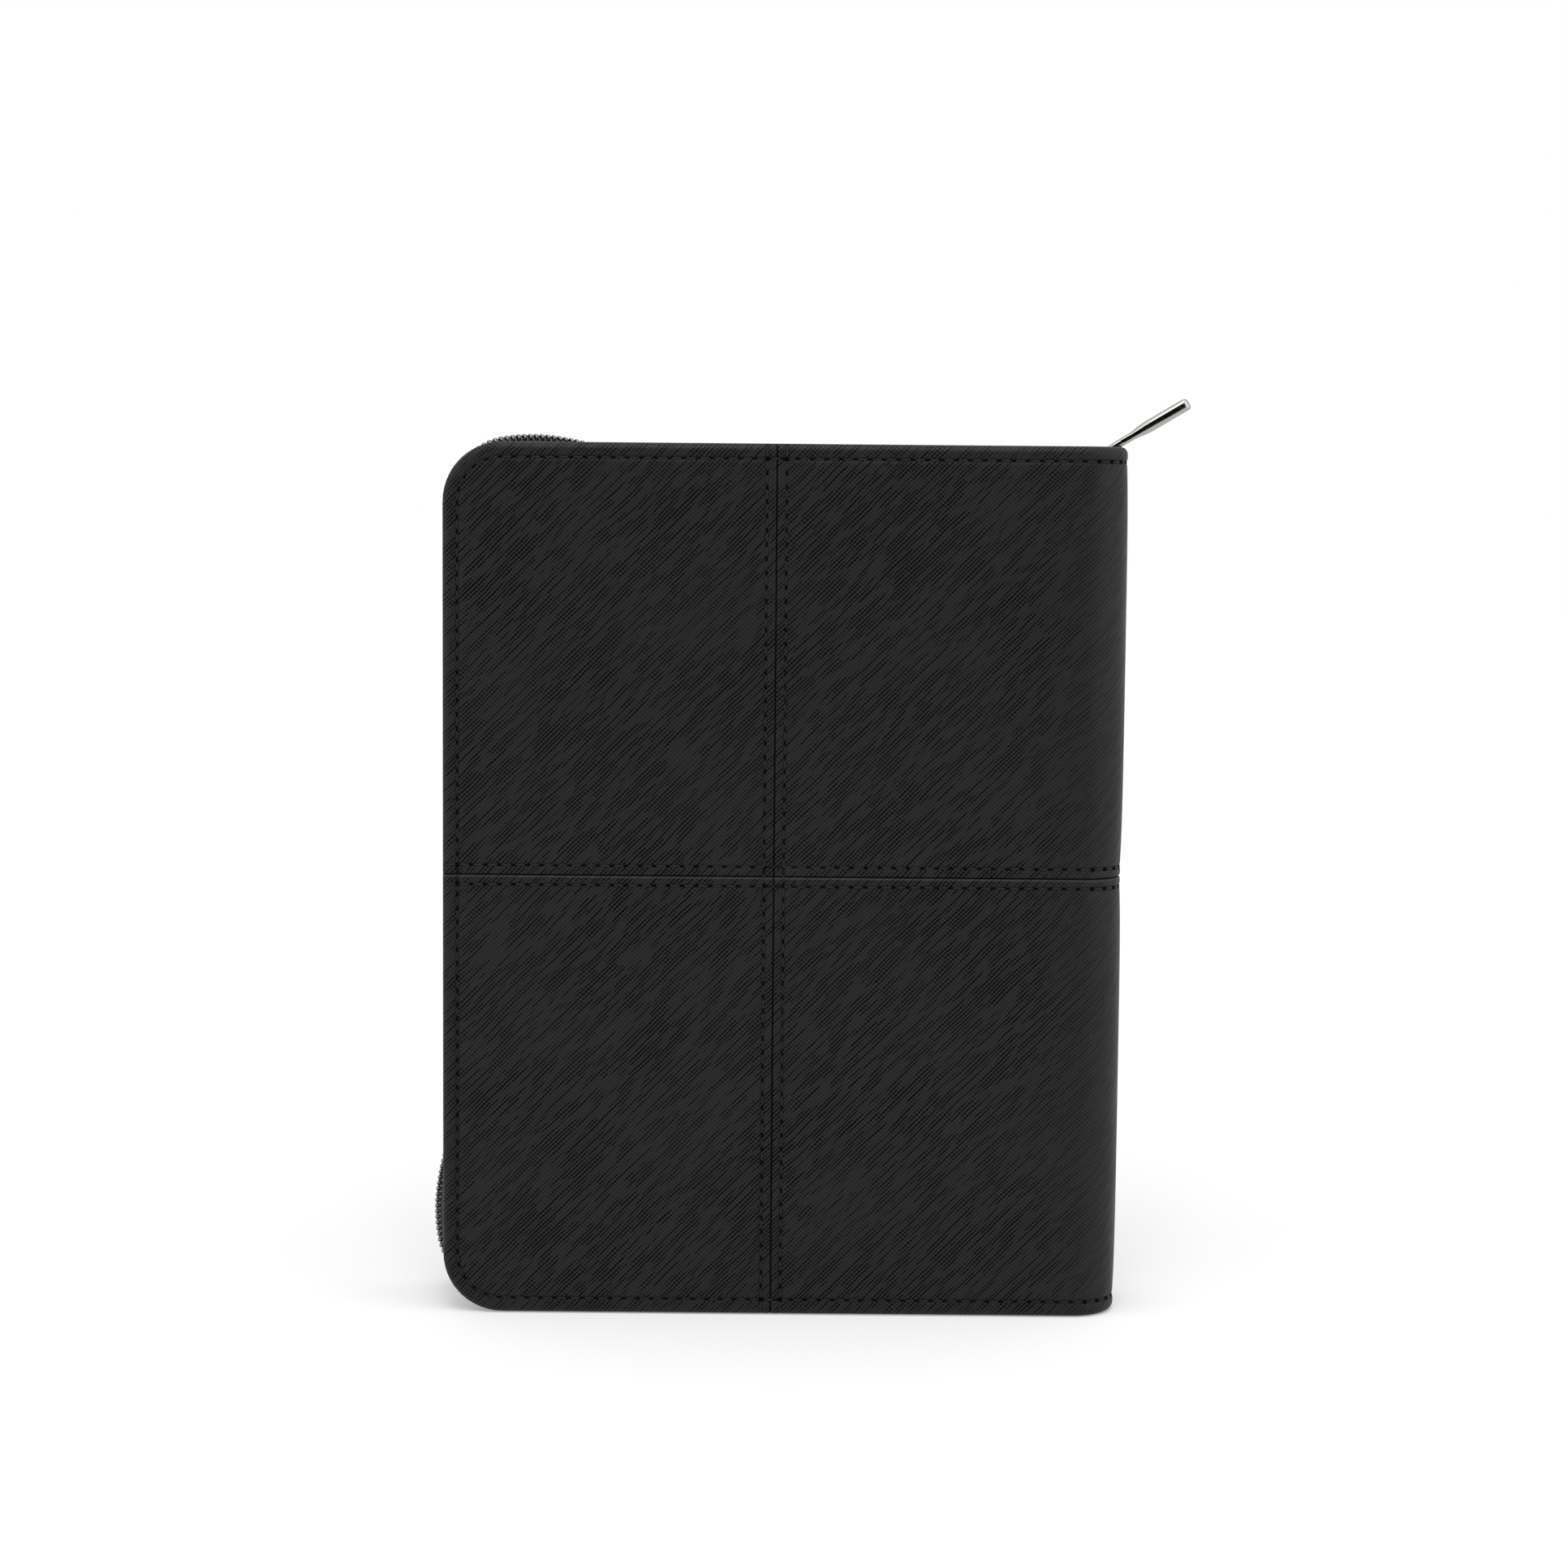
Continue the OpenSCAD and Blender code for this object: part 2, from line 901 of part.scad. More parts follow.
module zip_pull() {
    n = stem_t / 2;
    b = pull_t / 2;
    tip = pull_l - pull_w / 2;
    color("#d4d6d9")
        translate([slider_x + pin_x, 0, zip_top + pin_z])
            rotate([0, -pull_lean, 0]) {
                rotate([90, 0, 0])
                    cylinder(h = 2 * arm_y, d = pin_d, center = true);
                for (s = [0, 1])
                    mirror([0, s, 0])
                        translate([0, arm_y + arm_w, 0])
                            rotate([90, 0, 0])
                                linear_extrude(arm_w) {
                                    circle(d = pin_d);
                                    polygon([
                                        [0, -pin_d / 2], [2.4, -n], [arm_end + 1, -n],
                                        [arm_end + 1, n], [2.4, n], [0, pin_d / 2]
                                    ]);
                                }
                translate([arm_end, -arm_y - arm_w, -n])
                    cube([stem_l - arm_end + 0.6, 2 * (arm_y + arm_w), stem_t]);
                intersection() {
                    translate([0, 0, -b])
                        linear_extrude(pull_t) {
                            translate([stem_l, -pull_w / 2])
                                square([tip - stem_l, pull_w]);
                            translate([tip, 0])
                                circle(d = pull_w);
                        }
                    rotate([90, 0, 0])
                        linear_extrude(2 * pull_w, center = true) {
                            polygon([[stem_l, -n], [stem_l + 1.6, -b], [stem_l + 1.6, b], [stem_l, n]]);
                            translate([stem_l + 1.6, -b])
                                square([pull_l - stem_l - 1.6 - b, pull_t]);
                            translate([pull_l - b, 0])
                                circle(b);
                        }
                }
            }
}

spine_skin_upper();
spine_skin_lower();
spine_board();
spine_lining();
ring_base();
ring_rivets();
leaf_back();
rings_back();
leaf_front();
rings_front();
lever_top();
lever_bottom();
sheets_back();
index_back();
sheets_front();
index_front();
back_upper_outer();
back_upper_inner();
back_lower_outer();
back_lower_inner();
back_board();
back_lining();
back_tape();
back_teeth();
back_sleeve();
pen_loop();
front_upper_outer();
front_upper_inner();
front_lower_outer();
front_lower_inner();
front_board();
front_lining();
front_tape();
front_teeth();
front_sleeve();
card_slot_tall();
card_slot_middle();
card_slot_short();
slider_body();
zip_pull();
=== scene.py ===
"""Looks of a zip-round ring planner: leather, stitching, zip, lining, pockets, sheets and metal."""
import json
import math

import bmesh
import bpy
import numpy as np
from bpy.props import FloatProperty, FloatVectorProperty, IntProperty, PointerProperty
from mathutils import Euler, Matrix, Vector


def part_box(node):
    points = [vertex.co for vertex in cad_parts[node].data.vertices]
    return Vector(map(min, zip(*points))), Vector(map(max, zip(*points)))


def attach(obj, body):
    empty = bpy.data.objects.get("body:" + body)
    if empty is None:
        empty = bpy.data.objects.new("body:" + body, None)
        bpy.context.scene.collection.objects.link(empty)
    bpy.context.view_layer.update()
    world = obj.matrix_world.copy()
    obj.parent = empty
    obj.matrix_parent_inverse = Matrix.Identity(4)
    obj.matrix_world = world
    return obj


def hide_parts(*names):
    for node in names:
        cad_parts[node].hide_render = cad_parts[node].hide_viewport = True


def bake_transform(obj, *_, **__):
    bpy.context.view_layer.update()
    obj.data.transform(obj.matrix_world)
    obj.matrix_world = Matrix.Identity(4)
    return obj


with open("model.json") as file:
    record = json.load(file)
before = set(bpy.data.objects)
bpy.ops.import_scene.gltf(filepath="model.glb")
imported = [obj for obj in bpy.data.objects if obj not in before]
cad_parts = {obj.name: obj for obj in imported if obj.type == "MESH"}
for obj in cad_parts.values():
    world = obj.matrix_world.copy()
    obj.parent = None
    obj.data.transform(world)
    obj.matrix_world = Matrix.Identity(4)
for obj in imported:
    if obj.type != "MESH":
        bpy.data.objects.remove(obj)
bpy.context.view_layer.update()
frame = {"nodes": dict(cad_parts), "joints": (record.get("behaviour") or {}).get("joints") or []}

bl_info = {
    "name": "Ring planner looks",
    "version": (1, 0, 0),
    "blender": (4, 5, 0),
    "location": "View3D > Sidebar > Planner",
    "description": "Leather, zip, lining, paper and metal of a zip-round ring planner",
    "category": "Object",
}

MM = 0.001
UV_MM = 100.0


def box_mm(node):
    """Lowest and highest corner of a CAD node, in mm."""
    low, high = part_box(node)
    return np.array(low) / MM, np.array(high) / MM


# Places that the CAD frame settles, in mm. Y is a distance from the middle, and a side of -1 is the back.
OUTER = box_mm("back_upper_outer")
INNER = box_mm("back_upper_inner")
LOWER = box_mm("back_lower_outer")
X_FORE = OUTER[0][0]
X_SPINE = box_mm("spine_skin_upper")[1][0]
HEIGHT = OUTER[1][2]
Y_FACE = -OUTER[0][1]
Y_LINING = -box_mm("back_lining")[1][1]
SEAM_X = (OUTER[1][0] + INNER[0][0]) / 2
SEAM_Z = (OUTER[0][2] + LOWER[1][2]) / 2
CORNER_R = 16.0
FOLD_R = 12.0
ROLL_R = 1.6
X_EDGE = X_SPINE - FOLD_R
FLAT = X_EDGE - SEAM_X
ARC = FOLD_R * math.pi / 2
WRAP = FLAT + ARC + Y_FACE - FOLD_R
ZIP_R = 13.0
ZIP_X = box_mm("back_tape")[0][0] + 0.35
ZIP_TOP = box_mm("back_tape")[1][2] - 0.35
ZIP_LOW = HEIGHT - ZIP_TOP
RING_R = 10.5
RING_X = box_mm("rings_back")[0][0] + RING_R + 1.2
SIDES = {"back": -1, "front": 1}
COLOUR = {"subtype": "COLOR", "size": 3, "min": 0, "max": 1}


class LeatherSettings(bpy.types.PropertyGroup):
    """Cover leather and its stitching."""
    colour: FloatVectorProperty(name="Leather", description="Colour of the cover leather",
        default=(0.0086, 0.0085, 0.0082), **COLOUR)
    # painted shade: the grain's pits get this near-black colour, standing in for the shade in them
    pit_shade_colour: FloatVectorProperty(name="Pits", description="Colour in the pits of the grain",
        default=(0.0006, 0.0006, 0.0006), **COLOUR)
    shine: FloatProperty(
        name="Shine", description="Weight of the coat on the leather", default=0.3, min=0, max=1)
    grain: FloatProperty(
        name="Grain pitch", description="Pitch of the cross grain in mm", default=0.86, min=0.4, max=2)
    grain_turn: FloatProperty(name="Grain angle", description="Slope of the grain rows", subtype="ANGLE",
                              default=math.radians(45))
    crown: FloatProperty(name="Crown", description="Swell of each panel in mm", default=0.5, min=0, max=1)
    groove: FloatProperty(
        name="Groove", description="Depth of the sewn grooves in mm", default=0.3, min=0, max=0.6)
    hem: FloatProperty(
        name="Hem", description="Edge stitching in from the edge in mm", default=4.0, min=3, max=6)
    seam: FloatProperty(
        name="Seam", description="Seam stitching off the seam in mm", default=2.6, min=2, max=4)
    stitch: FloatProperty(name="Stitch", description="Stitch length in mm", default=3.7, min=2, max=6)
    thread: FloatProperty(name="Thread", description="Thread radius in mm", default=0.3, min=0.1, max=0.5)


class ZipSettings(bpy.types.PropertyGroup):
    """Zip coil and tape."""
    colour: FloatVectorProperty(name="Coil", description="Colour of the zip coil",
        default=(0.010, 0.010, 0.010), **COLOUR)
    tape_colour: FloatVectorProperty(name="Tape", description="Colour of the zip tape",
        default=(0.010, 0.010, 0.011), **COLOUR)
    turns: IntProperty(name="Turns", description="Turns of each coil half", default=348, min=100, max=500)
    head_swell: FloatProperty(name="Head swell", description="Rise of the coil near the head corner in mm",
                              default=5.5, min=0, max=7)
    tail_swell: FloatProperty(name="Tail swell", description="Swell of the coil near the tail corner in mm",
                              default=5.4, min=0, max=7)


class InsideSettings(bpy.types.PropertyGroup):
    """Lining, pockets and paper."""
    lining_colour: FloatVectorProperty(name="Lining", description="Colour of the lining",
        default=(0.020, 0.020, 0.022), **COLOUR)
    paper_colour: FloatVectorProperty(name="Paper", description="Colour of the sheets",
        default=(0.80, 0.775, 0.70), **COLOUR)
    index_colour: FloatVectorProperty(name="Index", description="Colour of the index sheets",
        default=(0.44, 0.29, 0.15), **COLOUR)
    line_pitch: FloatProperty(
        name="Ruling", description="Pitch of the ruled lines in mm", default=7.0, min=4, max=12)
    leaves: IntProperty(
        name="Leaves", description="Leaves in each block of sheets", default=8, min=2, max=12)


class MetalSettings(bpy.types.PropertyGroup):
    """Nickel and steel."""
    nickel: FloatVectorProperty(name="Nickel", description="Colour of the polished nickel",
        default=(0.43, 0.415, 0.395), **COLOUR)
    steel: FloatVectorProperty(name="Steel", description="Colour of the plain steel",
        default=(0.50, 0.50, 0.505), **COLOUR)


class StageSettings(bpy.types.PropertyGroup):
    """Floor, light and camera."""
    top_light: FloatProperty(
        name="Top light", description="Power of the light overhead in W", default=7.0, min=0)
    side_light: FloatProperty(
        name="Side lights", description="Power of each light at the side in W", default=5.5, min=0)
    small_light: FloatProperty(
        name="Small light", description="Power of the light above the front in W", default=4.5, min=0)
    floor_lift: FloatProperty(
        name="Floor lift", description="Added brightness of the floor by the object", default=0.26,
        min=0, max=1)
    lens: FloatProperty(
        name="Lens", description="Focal length in mm on a 36 mm frame", default=70.92, min=20, max=200)


def looks(title):
    """The settings of one group."""
    return getattr(bpy.context.scene, "planner_" + title)


def toned(colour, share):
    """A colour made darker or lighter."""
    return tuple(min(1, share * c) for c in colour)


# Meshes

def put_in(name, data):
    """A new object in the scene."""
    obj = bpy.data.objects.new(name, data)
    bpy.context.scene.collection.objects.link(obj)
    return obj


def make_object(name, points, faces, uv=None, outward=None, masks=None):
    """A mesh object from points in mm. uv and masks hold a value a point, outward the way it faces."""
    points = np.reshape(points, (-1, 3))
    faces = np.asarray(faces, int)
    if outward is not None:
        quad = points[faces]
        turn = np.cross(quad[:, 2] - quad[:, 0], quad[:, 3] - quad[:, 1])
        facing = np.broadcast_to(np.reshape(outward, (-1, 3)), points.shape)
        if (turn * facing[faces[:, 0]]).sum() < 0:
            faces = faces[:, ::-1]
    mesh = bpy.data.meshes.new(name)
    mesh.from_pydata((points * MM).tolist(), [], faces.tolist())
    if uv is not None:
        layer = mesh.uv_layers.new(name="Surface")
        loops = np.zeros(len(mesh.loops), np.int32)
        mesh.loops.foreach_get("vertex_index", loops)
        flat = (np.reshape(uv, (-1, 2)) / UV_MM).astype(np.float32)
        layer.data.foreach_set("uv", flat[loops].ravel())
    for label, values in (masks or {}).items():
        mask = mesh.attributes.new(label, "FLOAT", "POINT")
        mask.data.foreach_set("value", np.asarray(values, np.float32))
    mesh.shade_smooth()
    return put_in(name, mesh)


def grid_faces(n, m, start=0):
    """Quads of a grid of n by m points, in rows of m."""
    i, j = np.meshgrid(np.arange(n - 1), np.arange(m - 1), indexing="ij")
    a = (start + i * m + j).ravel()
    return np.stack([a, a + m, a + m + 1, a + 1], axis=1)


def settle(obj):
    """Turns an object's modifiers into its plain mesh."""
    view = bpy.context.evaluated_depsgraph_get()
    mesh = bpy.data.meshes.new_from_object(obj.evaluated_get(view), depsgraph=view)
    obj.modifiers.clear()
    old, obj.data = obj.data, mesh
    mesh.name = obj.name
    bpy.data.meshes.remove(old)
    return obj


def thicken(obj, thickness):
    """Gives a sheet its thickness in mm, behind the side that shows."""
    wall = obj.modifiers.new("Wall", "SOLIDIFY")
    wall.thickness = thickness * MM
    wall.offset = -1
    return settle(obj)


def dress(obj, material):
    """Gives a piece its material."""
    obj.data.materials.clear()
    obj.data.materials.append(material)
    return obj


def spread_rows(length, first, last, step):
    """Places over a length, with given places at its start and given distances from its end."""
    head = np.asarray(first, float)
    tail = length - np.asarray(last, float)[::-1]
    count = max(1, math.ceil((tail[0] - head[-1]) / step))
    return np.concatenate([head, np.linspace(head[-1], tail[0], count + 1)[1:-1], tail])


def run_of(*axes):
    """Length along a line from its start, at each of its points."""
    steps = np.stack([np.diff(axis) for axis in axes], axis=1)
    return np.concatenate([[0], np.cumsum(np.linalg.norm(steps, axis=1))])


def dent(off, width):
    """1 on a line, falling off beside it over a width."""
    return np.exp(-(off / width) ** 2)


def arch(off, span):
    """Half a sine wave over a span, 0 outside it."""
    return np.sin(math.pi * np.clip(off / span, 0, 1))


def round_corner(e1, e2, r):
    """Moves a corner's square grid, given as distances from its two edges, into a round of radius r."""
    a, b = (r - e1) / r, (r - e2) / r
    inside = (a > 0) & (b > 0)
    most = np.maximum(np.maximum(a, b), 1e-9)
    turn = math.pi / 4 * np.clip(np.minimum(a, b) / most, 0, 1)
    long, short = most * np.cos(turn), most * np.sin(turn)
    a2 = np.where(a >= b, long, short)
    b2 = np.where(a >= b, short, long)
    return np.where(inside, r - r * a2, e1), np.where(inside, r - r * b2, e2)


# Node trees

class Sum:
    """A value in a node tree that can be reckoned with."""

    def __init__(self, tree, socket):
        self.tree = tree
        self.socket = socket

    def do(self, operation, *others):
        """This value after one math node."""
        return maths(self.tree, operation, self, *others)

    def __add__(self, other):
        return self.do("ADD", other)

    def __sub__(self, other):
        return self.do("SUBTRACT", other)

    def __rsub__(self, other):
        return maths(self.tree, "SUBTRACT", other, self)

    def __mul__(self, other):
        return self.do("MULTIPLY", other)

    def __truediv__(self, other):
        return self.do("DIVIDE", other)


def link(tree, value, socket):
    """Fills a socket with a plain value, an output, or a node's first output."""
    value = value.outputs[0] if isinstance(value, bpy.types.Node) else getattr(value, "socket", value)
    if isinstance(value, bpy.types.NodeSocket):
        tree.links.new(value, socket)
    else:
        socket.default_value = value


def add(tree, kind, settings=None, **inputs):
    """A node with settings and inputs, by name or as i and a number."""
    node = tree.nodes.new(kind)
    for key, value in (settings or {}).items():
        setattr(node, key, value)
    for key, value in inputs.items():
        key = key.replace("_", " ")
        link(tree, value, node.inputs[int(key[1:]) if key[0] == "i" and key[1:].isdigit() else key])
    return node


def maths(tree, operation, *values):
    """Result of one math node."""
    inputs = {f"i{i}": value for i, value in enumerate(values)}
    return Sum(tree, add(tree, "ShaderNodeMath", {"operation": operation}, **inputs).outputs[0])


def taps(tree, node):
    """A node's outputs by name."""
    return {socket.name: Sum(tree, socket) for socket in node.outputs if socket.name}


def split(tree, vector):
    """X, Y and Z of a vector."""
    return taps(tree, add(tree, "ShaderNodeSeparateXYZ", Vector=vector)).values()


def noise(tree, vector, scale, detail, **more):
    """Values of a noise texture."""
    node = add(tree, "ShaderNodeTexNoise", Vector=vector, Scale=scale, Detail=detail, **more)
    return Sum(tree, node.outputs[0])


def new_tree(name, kind, inputs, outputs):
    """An empty tree with named sockets, and its inputs. A socket is a name, a type and perhaps a value."""
    tree = bpy.data.node_groups.new(name, kind)
    for label, sort, *value in inputs:
        socket = tree.interface.new_socket(label, in_out="INPUT", socket_type="NodeSocket" + sort)
        if value:
            socket.default_value = value[0]
    for label, sort in outputs:
        tree.interface.new_socket(label, in_out="OUTPUT", socket_type="NodeSocket" + sort)
    return tree, taps(tree, tree.nodes.new("NodeGroupInput"))


def group(name, maker):
    """A node group by name, made once."""
    return bpy.data.node_groups.get(name) or maker(name)


# Geometry node trees

def node_tree(name, inputs):
    """An empty geometry tree with its inputs."""
    mesh = ("Geometry", "Geometry")
    tree, get = new_tree(name, "GeometryNodeTree", [mesh, *inputs], [mesh])
    tree.is_modifier = True
    return tree, get


def run_tree(obj, tree, values):
    """Runs a tree on an object and keeps its result as a plain mesh."""
    run = obj.modifiers.new(tree.name, "NODES")
    run.node_group = tree
    for item in tree.interface.items_tree:
        if item.in_out == "INPUT" and item.name in values:
            run[item.identifier] = values[item.name]
    return settle(obj)


def follow_path(tree, source, **spacing):
    """Points along a mesh's paths, by Length or Count, with turns whose Z is the path's stored facing."""
    mode = {"mode": "LENGTH" if "Length" in spacing else "COUNT"}
    curve = add(tree, "GeometryNodeMeshToCurve", Mesh=source)
    spaced = add(tree, "GeometryNodeResampleCurve", mode, Curve=curve, **spacing)
    facing = add(tree, "GeometryNodeInputNamedAttribute", {"data_type": "FLOAT_VECTOR"}, Name="facing")
    turn = add(tree, "FunctionNodeAxesToRotation", {"primary_axis": "Z", "secondary_axis": "X"},
               Primary_Axis=facing, Secondary_Axis=tree.nodes.new("GeometryNodeInputTangent"))
    return spaced, turn


def wire(tree, line, radius, sides, caps=False):
    """A round wire along a curve, shaded smooth."""
    ring = add(tree, "GeometryNodeCurvePrimitiveCircle", Resolution=sides, Radius=radius)
    tube = add(tree, "GeometryNodeCurveToMesh", Curve=line, Profile_Curve=ring, Fill_Caps=caps)
    return add(tree, "GeometryNodeSetShadeSmooth", Geometry=tube)


def painted(tree, geometry, material):
    """Geometry with its material."""
    return add(tree, "GeometryNodeSetMaterial", Geometry=geometry, Material=material)


def strew(tree, points, instance, **turn):
    """Copies of an instance at points, as real meshes."""
    placed = add(tree, "GeometryNodeInstanceOnPoints", Points=points, Instance=instance, **turn)
    return add(tree, "GeometryNodeRealizeInstances", Geometry=placed)


# Half a stitch as a share of its length; dip and rise of its thread and level of its hole in thread radii.
STITCH_HALF = 0.42
THREAD_DIP = -1.5
THREAD_RISE = 1.1
HOLE_LEVEL = 0.2


def stitch_tree(name):
    """Threads that dip into near-black discs along sewn rows; the discs are painted shade for the needle holes.
    """
    tree, get = node_tree(name, [("Stitch", "Float"), ("Thread", "Float"), ("Hole", "Float"),
                                 ("Thread finish", "Material"), ("Hole finish", "Material")])
    points, turn = follow_path(tree, get["Geometry"], Length=get["Stitch"])
    half = get["Stitch"] * STITCH_HALF
    dip = get["Thread"] * THREAD_DIP
    start = add(tree, "ShaderNodeCombineXYZ", X=half * -1.0, Z=dip)
    middle = add(tree, "ShaderNodeCombineXYZ", Z=get["Thread"] * THREAD_RISE)
    end = add(tree, "ShaderNodeCombineXYZ", X=half, Z=dip)
    line = add(tree, "GeometryNodeCurveQuadraticBezier", Resolution=6, Start=start, Middle=middle, End=end)
    thread = painted(tree, wire(tree, line, get["Thread"], 6), get["Thread finish"])
    # a flat near-black disc at each hole: painted shade standing in for the depth of the needle hole
    hole = add(tree, "GeometryNodeMeshCircle", {"fill_type": "NGON"}, Vertices=10, Radius=get["Hole"])
    back = add(tree, "ShaderNodeCombineXYZ", X=get["Stitch"] * 0.5, Z=get["Thread"] * HOLE_LEVEL)
    hole = add(tree, "GeometryNodeTransform", Geometry=hole, Translation=back, Scale=(0.95, 0.95, 1))
    both = tree.nodes.new("GeometryNodeJoinGeometry")
    for part in (thread, painted(tree, hole, get["Hole finish"])):
        link(tree, part, both.inputs[0])
    add(tree, "NodeGroupOutput", i0=strew(tree, points, both, Rotation=turn))
    return tree


def coil_tree(name):
    """Leaning turns of nylon coil along a zip's path. Y of a turn runs across the zip."""
    tree, get = node_tree(name, [("Turns", "Int"), ("Pitch", "Float"), ("Width", "Float"), ("Depth", "Float"),
                                 ("Wire", "Float"), ("Shift", "Float"), ("Slant", "Float"),
                                 ("Finish", "Material")])
    points, turn = follow_path(tree, get["Geometry"], Count=get["Turns"])
    line = add(tree, "GeometryNodeCurvePrimitiveLine", End=(1, 0, 0))
    line = add(tree, "GeometryNodeResampleCurve", {"mode": "COUNT"}, Curve=line, Count=17)
    part = taps(tree, tree.nodes.new("GeometryNodeSplineParameter"))["Factor"]
    angle = part * (2 * math.pi)
    high, reach = angle.do("SINE"), angle.do("COSINE")
    along = (part - 0.5).do("MULTIPLY_ADD", get["Pitch"], high * get["Slant"])
    blunt = reach.do("ABSOLUTE").do("POWER", COIL_BLUNT)
    across = (reach.do("SIGN") * blunt).do("MULTIPLY_ADD", get["Width"], get["Shift"])
    shape = add(tree, "ShaderNodeCombineXYZ", X=along, Y=across, Z=high * get["Depth"])
    line = add(tree, "GeometryNodeSetPosition", Geometry=line, Position=shape)
    # how far the surface looks away from the coil's axis; this is the mask of the painted highlight on each
    # bead
    _, y, z = split(tree, tree.nodes.new("GeometryNodeInputPosition"))
    spoke = add(tree, "ShaderNodeCombineXYZ", Y=y - get["Shift"], Z=z)
    spoke = add(tree, "ShaderNodeVectorMath", {"operation": "NORMALIZE"}, i0=spoke)
    ridge = add(tree, "ShaderNodeVectorMath", {"operation": "DOT_PRODUCT"}, i0=spoke,
                i1=tree.nodes.new("GeometryNodeInputNormal"))
    turned = add(tree, "GeometryNodeStoreNamedAttribute", Geometry=wire(tree, line, get["Wire"], 8, True),
                 Name="ridge", Value=ridge.outputs[1])
    real = strew(tree, points, turned, Rotation=turn)
    add(tree, "NodeGroupOutput", i0=painted(tree, real, get["Finish"]))
    return tree


def leaves_tree(name):
    """A stack of leaves in three blocks, stepped along the bend of the rings."""
    tree, get = node_tree(name, [("Leaves", "Int"), ("Side", "Float"), ("First", "Float"), ("Pitch", "Float"),
                                 ("Card", "Float"), ("Ring", "Float"), ("Looseness", "Float"),
                                 ("Seed", "Int"), ("Finish", "Material")])
    line = add(tree, "GeometryNodeMeshLine", Count=get["Leaves"] * 3.0)
    number = taps(tree, tree.nodes.new("GeometryNodeInputIndex"))["Index"]
    block = ((number + 0.01) / get["Leaves"]).do("FLOOR")
    off = number.do("MULTIPLY_ADD", get["Pitch"], get["First"])
    off = block.do("MULTIPLY_ADD", get["Card"], off)
    reach = (get["Ring"] * get["Ring"] - off * off).do("SQRT")
    stray = add(tree, "FunctionNodeRandomValue", {"data_type": "FLOAT_VECTOR"}, Min=(-1, 0, -1),
                Max=(1, 0, 1), Seed=get["Seed"])
    loose = add(tree, "ShaderNodeVectorMath", {"operation": "SCALE"}, i0=stray, Scale=get["Looseness"])
    spot = add(tree, "ShaderNodeCombineXYZ", X=reach * -1.0, Y=off * get["Side"])
    spot = add(tree, "ShaderNodeVectorMath", {"operation": "ADD"}, i0=spot, i1=loose)
    line = add(tree, "GeometryNodeSetPosition", Geometry=line, Position=spot)
    add(tree, "NodeGroupOutput", i0=painted(tree, strew(tree, line, get["Geometry"]), get["Finish"]))
    return tree


def soften_tree(name):
    """Joins a CAD node's loose triangles and shades its round faces smooth."""
    tree, get = node_tree(name, [("Angle", "Float")])
    joined = add(tree, "GeometryNodeMergeByDistance", Geometry=get["Geometry"], Distance=2e-6)
    angle = taps(tree, tree.nodes.new("GeometryNodeInputMeshEdgeAngle"))["Unsigned Angle"]
    flat = angle.do("LESS_THAN", get["Angle"])
    faces = add(tree, "GeometryNodeSetShadeSmooth", {"domain": "FACE"}, Geometry=joined)
    edges = add(tree, "GeometryNodeSetShadeSmooth", {"domain": "EDGE"}, Geometry=faces, Shade_Smooth=flat)
    add(tree, "NodeGroupOutput", i0=edges)
    return tree


def path_object(name, rows):
    """Open paths as edges, with the way that each point faces. A row is points in mm and facings."""
    points, edges, facing = [], [], []
    for row, faces in rows:
        start = len(points)
        points += [list(p * MM) for p in row]
        facing += [list(f) for f in faces]
        edges += [(start + i, start + i + 1) for i in range(len(row) - 1)]
    mesh = bpy.data.meshes.new(name)
    mesh.from_pydata(points, edges, [])
    mesh.attributes.new("facing", "FLOAT_VECTOR", "POINT").data.foreach_set("vector", np.ravel(facing))
    return put_in(name, mesh)


# Shader groups

def ease(tree, value, start, end, low, high):
    """A smooth step from low to high, as the value goes from start to end."""
    step = add(tree, "ShaderNodeMapRange", {"interpolation_type": "SMOOTHSTEP"}, Value=value,
               From_Min=start, From_Max=end, To_Min=low, To_Max=high)
    return Sum(tree, step.outputs[0])


def wave(value, width):
    """Groove mask: 1 in the groove at each whole number of value, 0 beyond a share of the pitch."""
    return ease(value.tree, value.do("PINGPONG", 0.5), 0.0, width, 1.0, 0.0)


